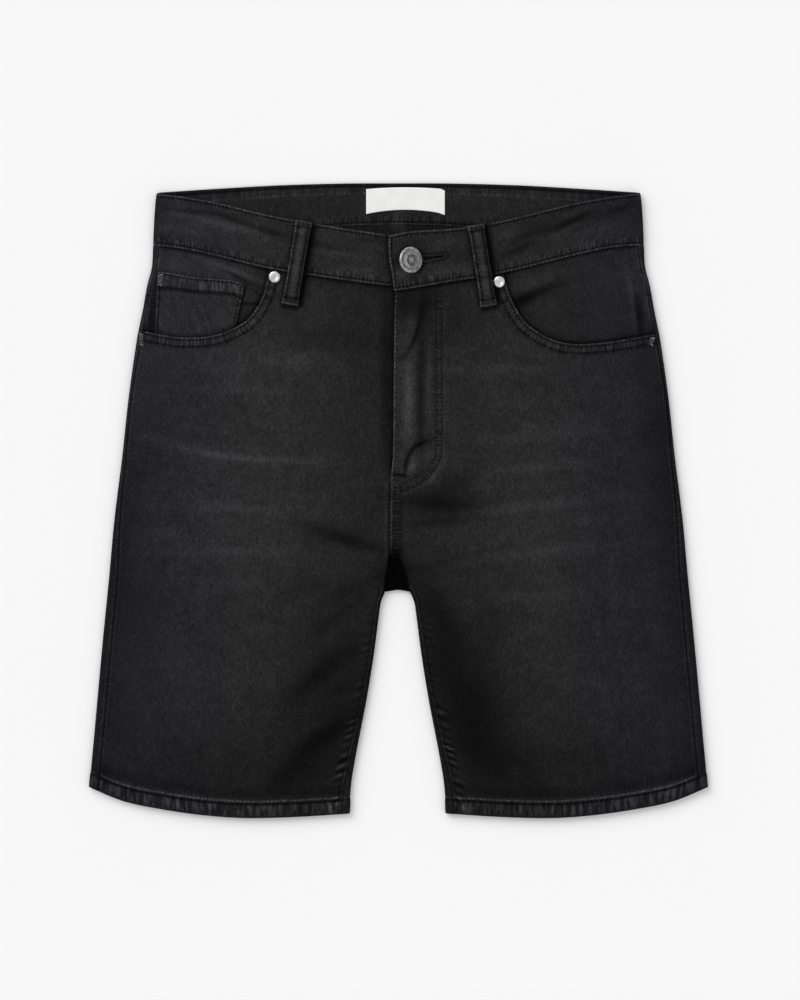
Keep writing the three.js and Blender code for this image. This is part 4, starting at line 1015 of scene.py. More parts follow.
def button_shade(x, y):
    """Shade on the band round the button and its hole, and in the dip of the cloth that it holds down."""
    dx, dy = x - BUTTON["x"], y - BUTTON["y"]
    ring = np.hypot(dx, dy) - BUTTON["radius"]
    away = 0.5 + 0.5 * (0.75 * dx + 0.65 * dy) / np.maximum(np.hypot(dx, dy), 1)
    along, outside = hole_place(x, y)
    outline = bump(outside - BUTTONHOLE["bound"] - 0.6, 1.0) * (along > BUTTON["radius"] - 2)
    return -(1.7 * away + 0.4) * bump(ring, 1.6) - 0.5 * bump(dx - 5, 8) * bump(dy - 15, 4) - 1.5 * outline


def band_front(s, x, y):
    """Finished front of the band: height, and the fields of its finish."""
    low, high = y - band_low[s](x), band_high[s](x) - y
    crease, stops = creased(BAND_CREASES, x, y)
    quiet = smooth(low / 4) * smooth(high / 4)
    z = band_top(s, x) + band_relief(low, high, x, 3.1 + s) + 1.3 * crease * quiet
    seams = [seam(high, x, 0.95, BAND_ROW + 0.4, 0.7, 2.2, (BAND_ROW,)),
             seam(low, x, 1.0, 6.0, 0.8, 2.2, (BAND_ROW,))]
    # Painted shade in the creases' troughs and painted light on their ridges, painted shade round the belt
    # loops, and broad patches of darker and lighter tone
    wash_and_shading = 0.1 + 2.2 * stops + loop_shade(x, y) + creased(BAND_TONES, x, y)[1]
    if s > 0:
        end = x - overlap_end(y)
        z = z + rolled(end, 1.1)
        seams.append(seam(end, y, 1.0, BAND_ROW, 0.9, 2.4, (BAND_ROW,)))
        wash_and_shading = wash_and_shading + button_shade(x, y)
    else:
        # Painted shadow on the underlap beside the end of the lap
        wash_and_shading = wash_and_shading + toned(BAND_LAP_TONES, lap=overlap_end(y) - x)
    return z, {**worn(*seams), "wash_and_shading": wash_and_shading}


def inside_band(x, y, low, high):
    """Height of the inside of the band's back, from the distances to its two edges."""
    return BAND_WALL + band_relief(low, high, x, 6.0) + 0.1 * uneven(x + 2 * y, 31, 1.0) - 0.1


def waistband():
    """One band, from the lap round the left fold, along the back and round the right fold to the underlap."""
    v = spaced(0, 1, 0.034, BAND_NEAR, BAND_NEAR)
    inset = BAND_SIDE_Z / 2
    shares = spaced(0, 1, 0.0085, (0.0015, 0.004, 0.007), ())
    angles = np.radians(np.arange(78, -79, -12))
    stations = [("left", 1, k, 0.0) for k in shares] + [("fold", 1, 0.0, a) for a in angles]
    stations += [("back", 1 - 2 * k, 0.0, 0.0) for k in np.linspace(0, 1, 190)]
    stations += [("fold", -1, 0.0, -a) for a in angles] + [("right", -1, k, 0.0) for k in shares[::-1]]
    outer, inner, fields = [], [], {key: [] for key in FIELDS}
    for layer, s, k, angle in stations:
        y = 225.0 + 0 * v
        for _ in range(BAND_SETTLE):
            wide = side_half(y) - inset
            if layer == "fold":
                x = s * (wide + inset * math.cos(angle))
                share = (1 + math.sin(angle)) / 2
                low_y, high_y = (mix(edge[0](np.abs(x)), edge[s](x), share) for edge in (band_low, band_high))
            elif layer == "back":
                x = s * wide
                low_y, high_y = band_low[0](np.abs(x)), band_high[0](np.abs(x))
            else:
                x = mix(overlap_end(y), wide, k) if s > 0 else mix(UNDERLAP_END_X, -wide, k)
                low_y, high_y = band_low[s](x), band_high[s](x)
            y = mix(low_y, high_y, v)
        low, high = v * BAND_WIDE, (1 - v) * BAND_WIDE
        if layer == "fold":
            turn = np.array([s * math.cos(angle), 0, math.sin(angle)])
            centre = grid(s * wide, y, inset + 0 * y)
            puff = band_relief(low, high, y, 5.0)
            out = centre + turn * (inset + puff * 0.5)[..., None]
            into = centre + turn * (inset - BAND_WALL) + 0 * out
            found = worn(seam(high, x, 0.9, BAND_ROW, 0.7, 2.4), seam(low, x, 0.9, BAND_ROW, 0.8, 2.4))
            found["wash_and_shading"] = -0.35 + 0 * y
        elif layer == "back":
            low, high = low * INSIDE_SHARE, high * INSIDE_SHARE
            under = np.maximum(-0.25 * rolled(np.minimum(low, high), 1.1), under_height(1, x, y, True))
            under = np.maximum(under, sunk(low - BAND_ROW, high - BAND_ROW))
            out, into = grid(x, y, under), grid(x, y, inside_band(x, y, low, high))
            found = worn(seam(high, x, 0.5, 7.5, 7.8, 4.5, (BAND_ROW,)),
                         seam(low, x, 0.8, 6.0, 0.8, 2.6, (BAND_ROW,)))
            # Tones of the inside of the back: painted shade along its edges and at its ends and in its upper
            # sewn row, and a lighter strip at the middle
            found["wash_and_shading"] = creased(INSIDE_SHADING, x, y)[1] - 0.6 * bump(high - BAND_ROW, 1.0)
        else:
            z, found = band_front(s, x, y)
            back = np.maximum(z - BAND_WALL, band_top(s, x) - BAND_WALL - 0.2)
            out, into = grid(x, y, z), grid(x, y, back)
        outer.append(out)
        inner.append(into)
        for key in fields:
            fields[key].append(found[key] + 0 * y)
    outer, inner = np.stack(outer, axis=1), np.stack(inner, axis=1)
    fields = {key: np.stack(values, axis=1) for key, values in fields.items()}
    keep = buttonhole_distance(outer[..., 0], outer[..., 1], outer[..., 2])
    return wall("waistband_cloth", outer, inner, fields, keep=keep)


def hole_half(along):
    """Half the breadth of the pulled buttonhole, at a distance along it from the button."""
    return mix(BUTTONHOLE["wide"], BUTTONHOLE["narrow"], np.clip(along / HOLE_LONG, 0, 1)) / 2


def hole_place(x, y):
    """Distance along the buttonhole from the button, and outside its edge."""
    rise = math.radians(BUTTONHOLE["rise"])
    dx, dy = x - BUTTON["x"], y - BUTTON["y"]
    along = dx * math.cos(rise) + dy * math.sin(rise)
    across = np.abs(dy * math.cos(rise) - dx * math.sin(rise))
    past = np.maximum(0, np.maximum(-along, along - HOLE_LONG))
    return along, np.hypot(past, across) - hole_half(along)


def buttonhole_distance(x, y, z):
    """Distance outside the buttonhole on the lap of the band, and plain elsewhere."""
    round_end = np.hypot(x - BUTTON["x"], y - BUTTON["y"]) - BUTTON["eyelet"]
    hole = np.minimum(hole_place(x, y)[1], round_end)
    return np.where((z > UNDERLAP_Z + 1.2) & (np.abs(x) < 60), hole, 50)


# Facings, coin pocket, belt loops and patch pockets
def facing_drop(s, x, y):
    mouth = beside_mouth(s, x, y)[0]
    edges = np.minimum(side_distance(s, x, y), band_low[s](x) - y)
    near = (1 - smooth(edges / FACING_BLEND)) * smooth((np.abs(mouth) - 3) / 9) * (mouth < 0)
    return FACING_DROP[s] * (1 - near)


def coin_shade(x, y):
    """Shade on the facing beside the coin pocket."""
    (x0, y0, x1, y1), (x2, y2, x3, y3) = COIN["bottom"], COIN["top"]
    outline = np.array([(x0, y0), (x2, y2), (x3, y3), (x1, y1)], float)
    d = beside(outline, x, y)[0]
    return np.where(d > -0.6, -1.5 * bump(d - 0.4, 1.5) * (x > -150) - 0.6 * bump(d, 2.0), 0)


def facing_skin(s, x, y):
    crease, stops = creased(FACING_CREASES, x, y)
    mouth = np.abs(beside_mouth(s, x, y)[0])
    side = side_distance(s, x, y)
    z = front_top(s, x, y) - facing_drop(s, x, y) + crease * smooth(mouth / 5) * smooth(side / 4)
    # Painted shade in the facing's folds and painted light on its ridges, painted shade under the pocket
    # mouth's edge, under the band and round the belt loops
    wash_and_shading = 1.4 * stops + toned(FACING_TONES, mouth=mouth, band=band_low[s](x) - y) + loop_shade(x, y)
    if s < 0:
        wash_and_shading = wash_and_shading + 0.2 + coin_shade(x, y)
    return z, {**worn(seam(side, y, 0.5, 0.0, 0.9, 5.0)), "wash_and_shading": wash_and_shading}


def facing(s):
    columns, row = np.meshgrid(spaced(0, 1, 0.009), spaced(FACING_ROW, WAIST_ROW, 1.1, (), EDGE[:2]))
    y = row.copy()
    for _ in range(SETTLE):
        outer_x = side_half(y) - side_seam_in(y) - GAP / 2
        x = s * mix(FACING_INNER_X[s], outer_x, columns)
        y = row_y(row, x, band_low[s](x) - GAP)
    z, fields = facing_skin(s, x, y)
    return wall(f"pocket_facing_{SIDE_NAME[s]}_cloth", grid(x, y, z), grid(x, y, z - FACING_WALL), fields)


def coin_point(u, v):
    corners = [mix(low, high, v) for low, high in zip(COIN["bottom"], COIN["top"])]
    x, y = mix(corners[0], corners[2], u), mix(corners[1], corners[3], u)
    return x, y + 1.4 * np.sin(np.pi * u) * (1 - v) + coin_rise(u) * v**2


def coin_floor(x, y):
    """Height that the coin pocket lies at, a little over the facing."""
    return front_top(-1, x, y) - facing_drop(-1, x, y) + 1.5 * GAP


def coin_skin(u, v):
    x, y = coin_point(u, v)
    top, sides = (1 - v) * COIN_LONG, np.minimum(u * COIN_WIDE, (1 - u) * COIN_WIDE)
    z = coin_floor(x, y) + COIN_WALL
    z = z + 0.8 * seam_relief(top, COIN_ROWS, x, 2.0, 0.4, 0.2, 3.6) + rolled(np.minimum(top, sides), 0.7)
    z = z - 0.2 * bump(sides - COIN_SIDE_ROW, 0.7) + 0.1
    # The sewn top band is lighter; painted shade just under it and along the front's pocket mouth that lies
    # over the pocket, and the facing's painted crease light and shade
    wash_and_shading = 0.32 + 0.3 * bump(top - 6, 8) - 1.5 * bump(top - COIN_ROWS[-1] - 1.2, 1.1)
    wash_and_shading = wash_and_shading + 0.35 * uneven(x + 0.4 * y, 9.0, 2.0) * smooth((top - 12) / 4)
    wash_and_shading = wash_and_shading - 1.2 * bump(beside_mouth(-1, x, y)[0], 2.6) + creased(FACING_CREASES, x, y)[1] * 0.4
    seams = (seam(top, x, 0.9, COIN_ROWS[-1], 0.5, 2.6, COIN_ROWS),
             seam(sides, y, 0.9, COIN_SIDE_ROW, 0.5, 3.0, (COIN_SIDE_ROW,)))
    return x, y, z, {**worn(*seams), "wash_and_shading": wash_and_shading}


def coin_pocket():
    near = (0.006, 0.014, 0.024)
    u, v = np.meshgrid(spaced(0, 1, 0.026, near, near), spaced(0, 1, 0.03, (), (*near, 0.045)))
    x, y, z, fields = coin_skin(u, v)
    return wall("coin_pocket_cloth", grid(x, y, z), grid(x, y, coin_floor(x, y)), fields)


def under_loop(s, x, y):
    edge = smooth((y - band_low[s](x) + 3) / 3)
    return mix(front_top(s, x, y), band_top(s, x), edge)


def loop_point(s, u, v):
    """Place on a front belt loop, with its face's height."""
    top, bottom = (np.array(end) for end in LOOP_ENDS[s])
    way = (top - bottom) / np.linalg.norm(top - bottom)
    ends = 1 + LOOP["flare"] / (LOOP["wide"] / 2) * np.abs(2 * v - 1) ** 6
    reach = (u - 0.5) * LOOP["wide"] * ends
    x = mix(bottom[0], top[0], v) + way[1] * reach
    y = mix(bottom[1], top[1], v) - way[0] * reach
    arch = LOOP["arch"] * smooth(np.sin(np.pi * v) * 1.5)
    below = under_loop(s, x, y) + GAP + arch
    across = np.minimum(u, 1 - u) * LOOP["wide"]
    face = below + LOOP["wall"] + 0.35 * (1 - (2 * u - 1) ** 2) + rolled(across, 0.9)
    face = face - 0.25 * np.exp(-(((across - 2.0) / 0.8) ** 2))
    long = np.minimum(v, 1 - v) * np.linalg.norm(top - bottom)
    turned_end = 0.55 * (1 - smooth((long - LOOP["turned"]) / 0.8))
    face = face + rolled(long, 0.9) + turned_end - 0.3 * bump(long - LOOP["turned"] - 1.0, 0.8)
    return x, y, face, below, across, long


def front_loop(s):
    u, v = np.meshgrid(spaced(0, 1, 0.045, (0.02, 0.05), (0.02, 0.05)),
                       spaced(0, 1, 0.0125, (0.004, 0.01), (0.004, 0.01)))
    x, y, face, below, across, long = loop_point(s, u, v)
    up = v * LOOP_LONG
    face = face + 0.1 * uneven(up, 5.5, s)
    end = 1 - smooth((long - LOOP["turned"]) / 0.6)
    # Painted light on the loop's raised middle and turned ends; painted shade in the grooves of its two rows,
    # on its right side and under its turned ends. Its worn edge line is stronger on the left, the lit side,
    # so it is partly painted light.
    wash_and_shading = 0.9 * bump(u - 0.5, 0.22) * (1 - end) + 0.6 * end - 2.0 * bump(long - LOOP["turned"] - 0.8, 0.8)
    wash_and_shading = wash_and_shading - (bump(u - 0.19, 0.06) + bump(u - 0.81, 0.06)) * (1 - end) - 0.5 * smooth((u - 0.8) / 0.1)
    wash_and_shading = wash_and_shading + 0.4 * uneven(up, 13, 2.0 + s) + 0.3 * uneven(up + 3 * u, 4.1, 5.0 + s)
    wash_and_shading = wash_and_shading + (0.05 if s < 0 else -0.15)
    rub = np.where(u < 0.5, 1.1, 0.7)
    seams = (seam(across, up, rub, 2.0, 0.5, 2.4), seam(long, u * LOOP_ACROSS, 0.8, 3.0, 0.6, 2.0))
    fields = {**worn(*seams), "wash_and_shading": wash_and_shading}
    return wall(f"belt_loop_front_{SIDE_NAME[s]}_cloth", grid(x, y, face), grid(x, y, below), fields)


def under_patch(name, points, wall_thick, rows, fields):
    """A flat piece let into the underside: its outer face is down."""
    x, y = points
    edge = fields["edge"]
    low = np.maximum(np.maximum(0, -rolled(edge, 0.7)), sunk(*(edge - row for row in rows)))
    return wall(name, grid(x, y, low), grid(x, y, wall_thick + 0 * x), fields)


def back_loop(name, middle):
    u, v = np.meshgrid(spaced(0, 1, 0.06, (0.03, 0.08), (0.03, 0.08)),
                       spaced(0, 1, 0.03, (0.01, 0.02), (0.01, 0.02)))
    x = middle + (u - 0.5) * BACK_LOOP["wide"]
    y = mix(loop_low(middle), loop_top(middle), v)
    across = np.minimum(u, 1 - u) * BACK_LOOP["wide"]
    fields = {**worn(seam(across, y, 0.9, 2.0, 0.5, 2.4)), "wash_and_shading": 0.1 + 0 * x}
    return under_patch(f"belt_loop_back_{name}_cloth", (x, y), BACK_LOOP["wall"], (2.0,), fields)


def back_pocket(s):
    """Five-cornered patch: a square of points pulled to its outline."""
    top_in, top_out, low_out, point, low_in = (np.array(p, float) for p in BACK_POCKET)
    u = spaced(0, 1, 0.024, POCKET_NEAR, POCKET_NEAR)[None, :, None]
    v = spaced(0, 1, 0.022, POCKET_NEAR, POCKET_NEAR)[:, None, None]
    share = (point[0] - low_in[0]) / (low_out[0] - low_in[0])
    foot = np.where(u < share, mix(low_in, point, u / share), mix(point, low_out, (u - share) / (1 - share)))
    at = mix(foot, mix(top_in, top_out, u), v)
    x, y = s * at[..., 0], at[..., 1]
    edge = -polygon_distance(s, x, y)
    fields = worn(seam(edge, x - y, 0.9, POCKET_ROWS[1], 0.5, 2.6))
    fields["wash_and_shading"] = 0.15 + 0.2 * bump(105 - y, 30)
    return under_patch(f"back_pocket_{SIDE_NAME[s]}_cloth", (x, y), POCKET_WALL, POCKET_ROWS, fields)


# Metal, turned on a lathe
def turned(name, profile, segments, place):
    """A closed turned shape from (radius, height) pairs that start and end on the axis."""
    points, faces = [place(0, 0, profile[0][1])], []
    for r, h in profile[1:-1]:
        for i in range(segments):
            a = 2 * math.pi * i / segments
            points.append(place(r * math.cos(a), r * math.sin(a), h))
    points.append(place(0, 0, profile[-1][1]))
    rings = len(profile) - 2
    for i in range(segments):
        j = (i + 1) % segments
        faces.append([0, 1 + j, 1 + i])
        for ring in range(rings - 1):
            low = 1 + ring * segments
            faces.append([low + i, low + j, low + segments + j, low + segments + i])
        last = 1 + (rings - 1) * segments
        faces.append([last + i, last + j, len(points) - 1])
    return mesh_object(name, points, faces, smooth_angle=38)


def rounded(profile, cut=0.25, steps=3):
    """A profile with its corners turned into short curves."""
    out = [profile[0]]
    for before, at, after in zip(profile[:-2], profile[1:-1], profile[2:]):
        b, p, a = (np.array(v, float) for v in (before, at, after))
        into = p + (b - p) * min(0.5, cut / np.linalg.norm(b - p))
        out_of = p + (a - p) * min(0.5, cut / np.linalg.norm(a - p))
        for t in np.linspace(0, 1, steps):
            out.append(tuple((1 - t) ** 2 * into + 2 * t * (1 - t) * p + t * t * out_of))
    return out + [profile[-1]]


def button():
    radius, height = BUTTON["radius"], BUTTON["height"]
    profile = rounded([
        (0, 0), (radius - 1.2, 0), (radius, 0.7), (radius, height - 0.8), (radius - 0.9, height),
        (radius - 1.9, height), (radius - 2.5, height - 0.6), (radius * 0.66, height - 0.75),
        (radius * 0.5, height - 0.75), (radius * 0.44, height - 0.35), (radius * 0.36, height - 0.3),
        (radius * 0.3, height - 0.55), (radius * 0.16, height - 0.7), (0, height - 0.6),
    ])
    tilt = math.radians(BUTTON["tilt"])
    seat = OVERLAP_Z + GAP + 0.1 + radius * math.sin(tilt)

    def place(x, y, z):
        return (BUTTON["x"] + x * math.cos(tilt) + z * math.sin(tilt), BUTTON["y"] + y,
                seat - x * math.sin(tilt) + z * math.cos(tilt))

    return turned("button_head", profile, 72, place)


def button_stem():
    tilt = math.radians(BUTTON["tilt"])
    foot, r = UNDERLAP_Z + GAP, BUTTON["stem"]
    top = OVERLAP_Z + GAP + 0.1 + BUTTON["radius"] * math.sin(tilt) + 0.9
    profile = rounded([(0, foot), (r + 0.6, foot), (r, foot + 1.0), (r, top), (0, top)], 0.2)
    return turned("button_stem", profile, 32, lambda x, y, z: (BUTTON["x"] + x, BUTTON["y"] + y, z))


def rivet(s):
    radius, height = RIVET["radius"], RIVET["height"]
    x0, y0 = RIVET_AT[s]
    base = float(front_top(s, np.array(x0), np.array(y0))) + GAP
    profile = rounded([
        (0, 0), (radius, 0), (radius, 0.35), (radius - 0.5, height - 0.35), (radius - 1.3, height),
        (radius - 2.2, height - 0.15), (radius - 2.7, height - 0.4), (1.1, height - 0.4), (0.7, 0.3),
        (0, 0.3),
    ], 0.15)
    return turned(f"rivet_{SIDE_NAME[s]}_metal", profile, 40, lambda x, y, z: (x0 + x, y0 + y, base + z))


def label():
    u, v = np.meshgrid(spaced(0, 1, 0.02, (0.004, 0.01), (0.004, 0.01)),
                       spaced(0, 1, 0.06, (0.012, 0.03), (0.012, 0.03)))
    arch = 1 - (2 * u - 1) ** 2
    x = LABEL["x"] + (u - 0.5) * LABEL["wide"]
    low = LABEL["low"] + LABEL["low_bow"] * arch - 0.8 * smooth((u - 0.9) / 0.1)
    high = LABEL["high"] + LABEL["high_bow"] * arch - 1.2 * smooth((u - 0.94) / 0.06)
    y = mix(low, high, v)
    edge = np.minimum(np.minimum(u, 1 - u) * LABEL["wide"], np.minimum(v, 1 - v) * (high - low))
    floor = BAND_WALL + GAP + 0 * x + 0.12
    face = floor + LABEL["wall"] - 0.12 + rolled(edge, 0.5) + 0.12 * uneven(x, 17, 2) * smooth(edge / 3)
    return wall("label_tape", grid(x, y, face), grid(x, y, floor), {"edge": edge})


# Sewn rows: each is a path of points on the cloth
sewing = {"top": [], "under": []}


def sewn(side, x, y, z=UNDER_STITCH_Z):
    """Keeps a path for the thread, a little above the groove it is pulled into."""
    x, y, z = np.broadcast_arrays(x, y, z)
    lift = 0.0 if side == "under" else STITCH_LIFT
    sewing[side].append(np.stack([x, y, z + lift], axis=1))


def front_z(s, x, y):
    return front_skin(s, x, y)[0]


def front_rows():
    for s in (1, -1):
        for d in MOUTH_ROWS:
            line = offset(MOUTH_LINE[s], -s * d)
            x, y = line[:, 0], line[:, 1]
            on = (y < band_low[s](x) - 1.2) & (s * x < side_half(y) - side_seam_in(y) - 0.8)
            sewn("top", x[on], y[on], front_z(s, x[on], y[on]))
        x = s * np.linspace(abs(inner_x(s, -240)) + 8, side_half(-235.0) - 7.6, 90)
        y = hem_y(np.abs(x)) + HEM_ROW_IN
        sewn("top", x, y, front_z(s, x, y))
    for line in FLY_LINES:
        on = line[:, 1] < band_low[1](line[:, 0]) - 1
        sewn("top", line[on, 0], line[on, 1], front_z(1, line[on, 0], line[on, 1]))
    for d in CENTRE_ROWS:
        y = np.linspace(10, -46, 44)
        x = centre_left(y) + d
        sewn("top", x, y, front_z(1, x, y))
    y = np.linspace(160, 16, 90)
    x = centre_left(y) + 1.6
    sewn("top", x, y, front_z(1, x, y))


def band_rows():
    for s, start in ((1, -5.4), (-1, -9.6)):
        x = np.linspace(start, s * 193, 130)
        for edge, d in ((band_low, BAND_ROW), (band_high, -BAND_ROW)):
            y = edge[s](x) + d
            sewn("top", x, y, band_front(s, x, y)[0])
    y = np.linspace(169, 208, 26)
    x = overlap_end(y) + BAND_ROW
    sewn("top", x, y, band_front(1, x, y)[0])
    x = np.linspace(-188, 188, 240)
    low, high = band_low[0](np.abs(x)), band_high[0](np.abs(x))
    for y in (low + BAND_ROW, high - BAND_ROW):
        sewn("top", x, y, inside_band(x, y, y - low, high - y))
        free = np.min([np.abs(x - m) for m in BACK_LOOP["tops"].values()], axis=0) > 8
        for part in np.split(np.arange(len(x)), np.nonzero(np.diff(free.astype(int)))[0] + 1):
            if free[part[0]] and len(part) > 3:
                sewn("under", x[part], y[part])


def small_rows():
    v = np.linspace(0.04, 1 - COIN_SIDE_ROW / COIN_LONG, 40)
    for u in (COIN_SIDE_ROW / COIN_WIDE, 1 - COIN_SIDE_ROW / COIN_WIDE):
        x, y, z, _ = coin_skin(u + 0 * v, v)
        on = beside_mouth(-1, x, y)[0] < -1.5
        sewn("top", x[on], y[on], z[on])
    u = np.linspace(0.02, 0.98, 40)
    for d in COIN_ROWS:
        x, y, z, _ = coin_skin(u, 1 - d / COIN_LONG + 0 * u)
        sewn("top", x, y, z)
    for s in (1, -1):
        v = np.linspace(0.05, 0.95, 40)
        for u in (0.16, 0.84):
            x, y, z = loop_point(s, u + 0 * v, v)[:3]
            sewn("top", x, y, z)
        for d in POCKET_ROWS:
            line = np.array([(s * x, y) for x, y in BACK_POCKET + BACK_POCKET[:1]], float)
            line = shrunk(line, d, s)
            sewn("under", line[:, 0], line[:, 1])
        x = s * np.linspace(9, 186, 110)
        for d in DOUBLE_ROWS:
            sewn("under", x, yoke_seam(x) - d)
        y = np.linspace(156, FORK_Y + 8, 104)
        if s > 0:
            for d in DOUBLE_ROWS:
                sewn("under", d + 0 * y, y)
        x = s * np.linspace(abs(inner_x(s, -240)) + 6, side_half(-235.0) - 4, 90)
        sewn("under", x, hem_y(np.abs(x)) + HEM_ROW_IN)
    for middle in BACK_LOOP["tops"].values():
        y = np.linspace(loop_low(middle) + 2, loop_top(middle) - 2, 30)
        for d in (-4.2, 4.2):
            sewn("under", middle + d + 0 * y, y)


def shrunk(line, by, s):
    """A closed outline moved inward, with its corners kept, as close points."""
    ring = line[:-1]
    out = []
    for i, p in enumerate(ring):
        a, b = p - ring[i - 1], ring[(i + 1) % len(ring)] - p
        na = s * np.array([a[1], -a[0]]) / np.linalg.norm(a)
        nb = s * np.array([b[1], -b[0]]) / np.linalg.norm(b)
        out.append(p + (na + nb) * by / (1 + na @ nb))
    out.append(out[0])
    close = [mix(a, b, k) for a, b in zip(out[:-1], out[1:]) for k in np.linspace(0, 1, 24, endpoint=False)]
    return np.array(close + [out[0]])


# Bar tacks: the surface, its side, the middle, direction, length and breadth
PALE_TACKS = (
    ("front", -1, -205.8, 128.0, 90, 9.0, 3.0), ("front", 1, 202.6, 126.6, 78, 6.0, 3.6),
    ("coin", -1, -190.6, 175.8, 87, 8.6, 3.2),
)
DARK_TACKS = (("front", 1, 1.0, 19.6, -4, 11.0, 1.6),)


def tack_paths(tacks):
    """Close zigzags of thread across short bars."""
    paths = []
    for kind, s, x0, y0, turn, long, wide in tacks:
        turn = math.radians(turn)
        count = int(long / 0.6)
        k = np.arange(count + 1)
        along = (k / count - 0.5) * long
        across = np.where(k % 2, 0.5, -0.5) * wide
        x = x0 + along * math.cos(turn) - across * math.sin(turn)
        y = y0 + along * math.sin(turn) + across * math.cos(turn)
        if kind == "coin":
            z = coin_floor(x, y) + COIN_WALL + 0.4
        else:
            z = front_z(s, x, y)
        paths.append(np.stack([x, y, z + 0.25], axis=1))
    return paths


def loop_tacks():
    paths = []
    for s in (1, -1):
        for v in (0.04, 0.96):
            k = np.arange(23)
            x, y, z = loop_point(s, 0.08 + 0.84 * k / 22, v + np.where(k % 2, 0.013, -0.013))[:3]
            paths.append(np.stack([x, y, z + 0.2], axis=1))
    return paths


def hole_paths():
    """Thread bound round the buttonhole."""
    rise = math.radians(BUTTONHOLE["rise"])
    out = np.arange(BUTTON["eyelet"] + 0.4, HOLE_LONG, 0.55)
    along = np.concatenate([out, np.full(6, HOLE_LONG), out[::-1]])
    side = np.concatenate([np.ones(len(out)), np.linspace(1, -1, 6), -np.ones(len(out))])
    k = np.arange(len(along))
    across = side * (hole_half(along) + np.where(k % 2, 0.1, BUTTONHOLE["bound"]))
    x = BUTTON["x"] + along * math.cos(rise) - across * math.sin(rise)
    y = BUTTON["y"] + along * math.sin(rise) + across * math.cos(rise)
    return [np.stack([x, y, band_front(1, x, y)[0] + 0.2], axis=1)]


def path_object(name, paths):
    """Paths as one mesh of edges."""
    edges, at = [], 0
    for path in paths:
        edges += [(at + i, at + i + 1) for i in range(len(path) - 1)]
        at += len(path)
    mesh = bpy.data.meshes.new(name)
    mesh.from_pydata((np.concatenate(paths) * MM).tolist(), edges, [])
    return placed(name, mesh)


class Nodes:
    """Short calls that build a node tree."""

    def __init__(self, tree):
        self.tree = tree

    def put(self, socket, value):
        if isinstance(value, bpy.types.NodeSocket):
            self.tree.links.new(value, socket)
        else:
            socket.default_value = value

    def add(self, kind, inputs=None, **values):
        """A node with its own settings, and its inputs set or linked by name or number."""
        node = self.tree.nodes.new(kind)
        for key, value in values.items():
            setattr(node, key, value)
        for key, value in (inputs or {}).items():
            self.put(node.inputs[key], value)
        return node

    def math(self, operation, *values):
        return self.add("ShaderNodeMath", dict(enumerate(values)), operation=operation).outputs[0]


class ThreadTree(Nodes):
    """A tree that lays thread along paths, with its sizes as named inputs."""

    def __init__(self, name, inputs):
        super().__init__(bpy.data.node_groups.new(name, "GeometryNodeTree"))
        kinds = {"Seed": "NodeSocketInt", "Thread": "NodeSocketMaterial"}
        new_socket = self.tree.interface.new_socket
        new_socket("Geometry", in_out="INPUT", socket_type="NodeSocketGeometry")
        self.sockets = {key: new_socket(key, in_out="INPUT", socket_type=kinds.get(key, "NodeSocketFloat"))
                        for key in inputs}
        new_socket("Geometry", in_out="OUTPUT", socket_type="NodeSocketGeometry")
        self.given = self.add("NodeGroupInput").outputs
        self.curve = self.add("GeometryNodeMeshToCurve", {"Mesh": self.given["Geometry"]}).outputs[0]

    def half(self, key):
        return self.math("MULTIPLY", self.given[key], 0.5)

    def ended(self, geometry):
        """Turns what was laid into real, smooth faces in the thread's material."""
        for kind in ("GeometryNodeRealizeInstances", "GeometryNodeSetShadeSmooth"):
            geometry = self.add(kind, {"Geometry": geometry}).outputs[0]
        inputs = {"Geometry": geometry, "Material": self.given["Thread"]}
        self.add("NodeGroupOutput", {"Geometry": self.add("GeometryNodeSetMaterial", inputs).outputs[0]})
        return self


def stitch_tree(inputs):
    """Stitches of one length, laid end to end along each path."""
    t = ThreadTree("topstitching", inputs)
    points = t.add("GeometryNodeCurveToPoints", {"Curve": t.curve, "Length": t.given["Pitch"]}, mode="LENGTH")
    along = t.add("FunctionNodeAlignRotationToVector", {"Vector": points.outputs["Tangent"]}, axis="X")
    drift = t.add("FunctionNodeRandomValue", {0: [-k for k in STITCH_DRIFT], 1: STITCH_DRIFT,
                                              "Seed": t.given["Seed"]}, data_type="FLOAT_VECTOR")
    turn = t.add("FunctionNodeRotateRotation", {"Rotation": along.outputs[0], "Rotate By": drift.outputs[0]},
                 rotation_space="LOCAL")
    ball = t.add("GeometryNodeMeshUVSphere", {"Segments": 6, "Rings": 4, "Radius": 1.0})
    ball = t.add("GeometryNodeTransform", {"Geometry": ball.outputs["Mesh"], "Rotation": (0, math.pi / 2, 0)})
    thin = t.half("Width")
    size = t.add("ShaderNodeCombineXYZ", {0: t.half("Stitch"), 1: thin, 2: thin})
    laid = t.add("GeometryNodeInstanceOnPoints", {"Points": points.outputs["Points"],
                                                  "Instance": ball.outputs["Geometry"],
                                                  "Rotation": turn.outputs[0], "Scale": size.outputs[0]})
    return t.ended(laid.outputs["Instances"])


def cord_tree(inputs):
    """Thread of one thickness along each path."""
    t = ThreadTree("tack_thread", inputs)
    ring = t.add("GeometryNodeCurvePrimitiveCircle", {"Resolution": 6, "Radius": t.half("Width")})
    tube = t.add("GeometryNodeCurveToMesh", {"Curve": t.curve, "Profile Curve": ring.outputs["Curve"],
                                             "Fill Caps": True})
    return t.ended(tube.outputs["Mesh"])


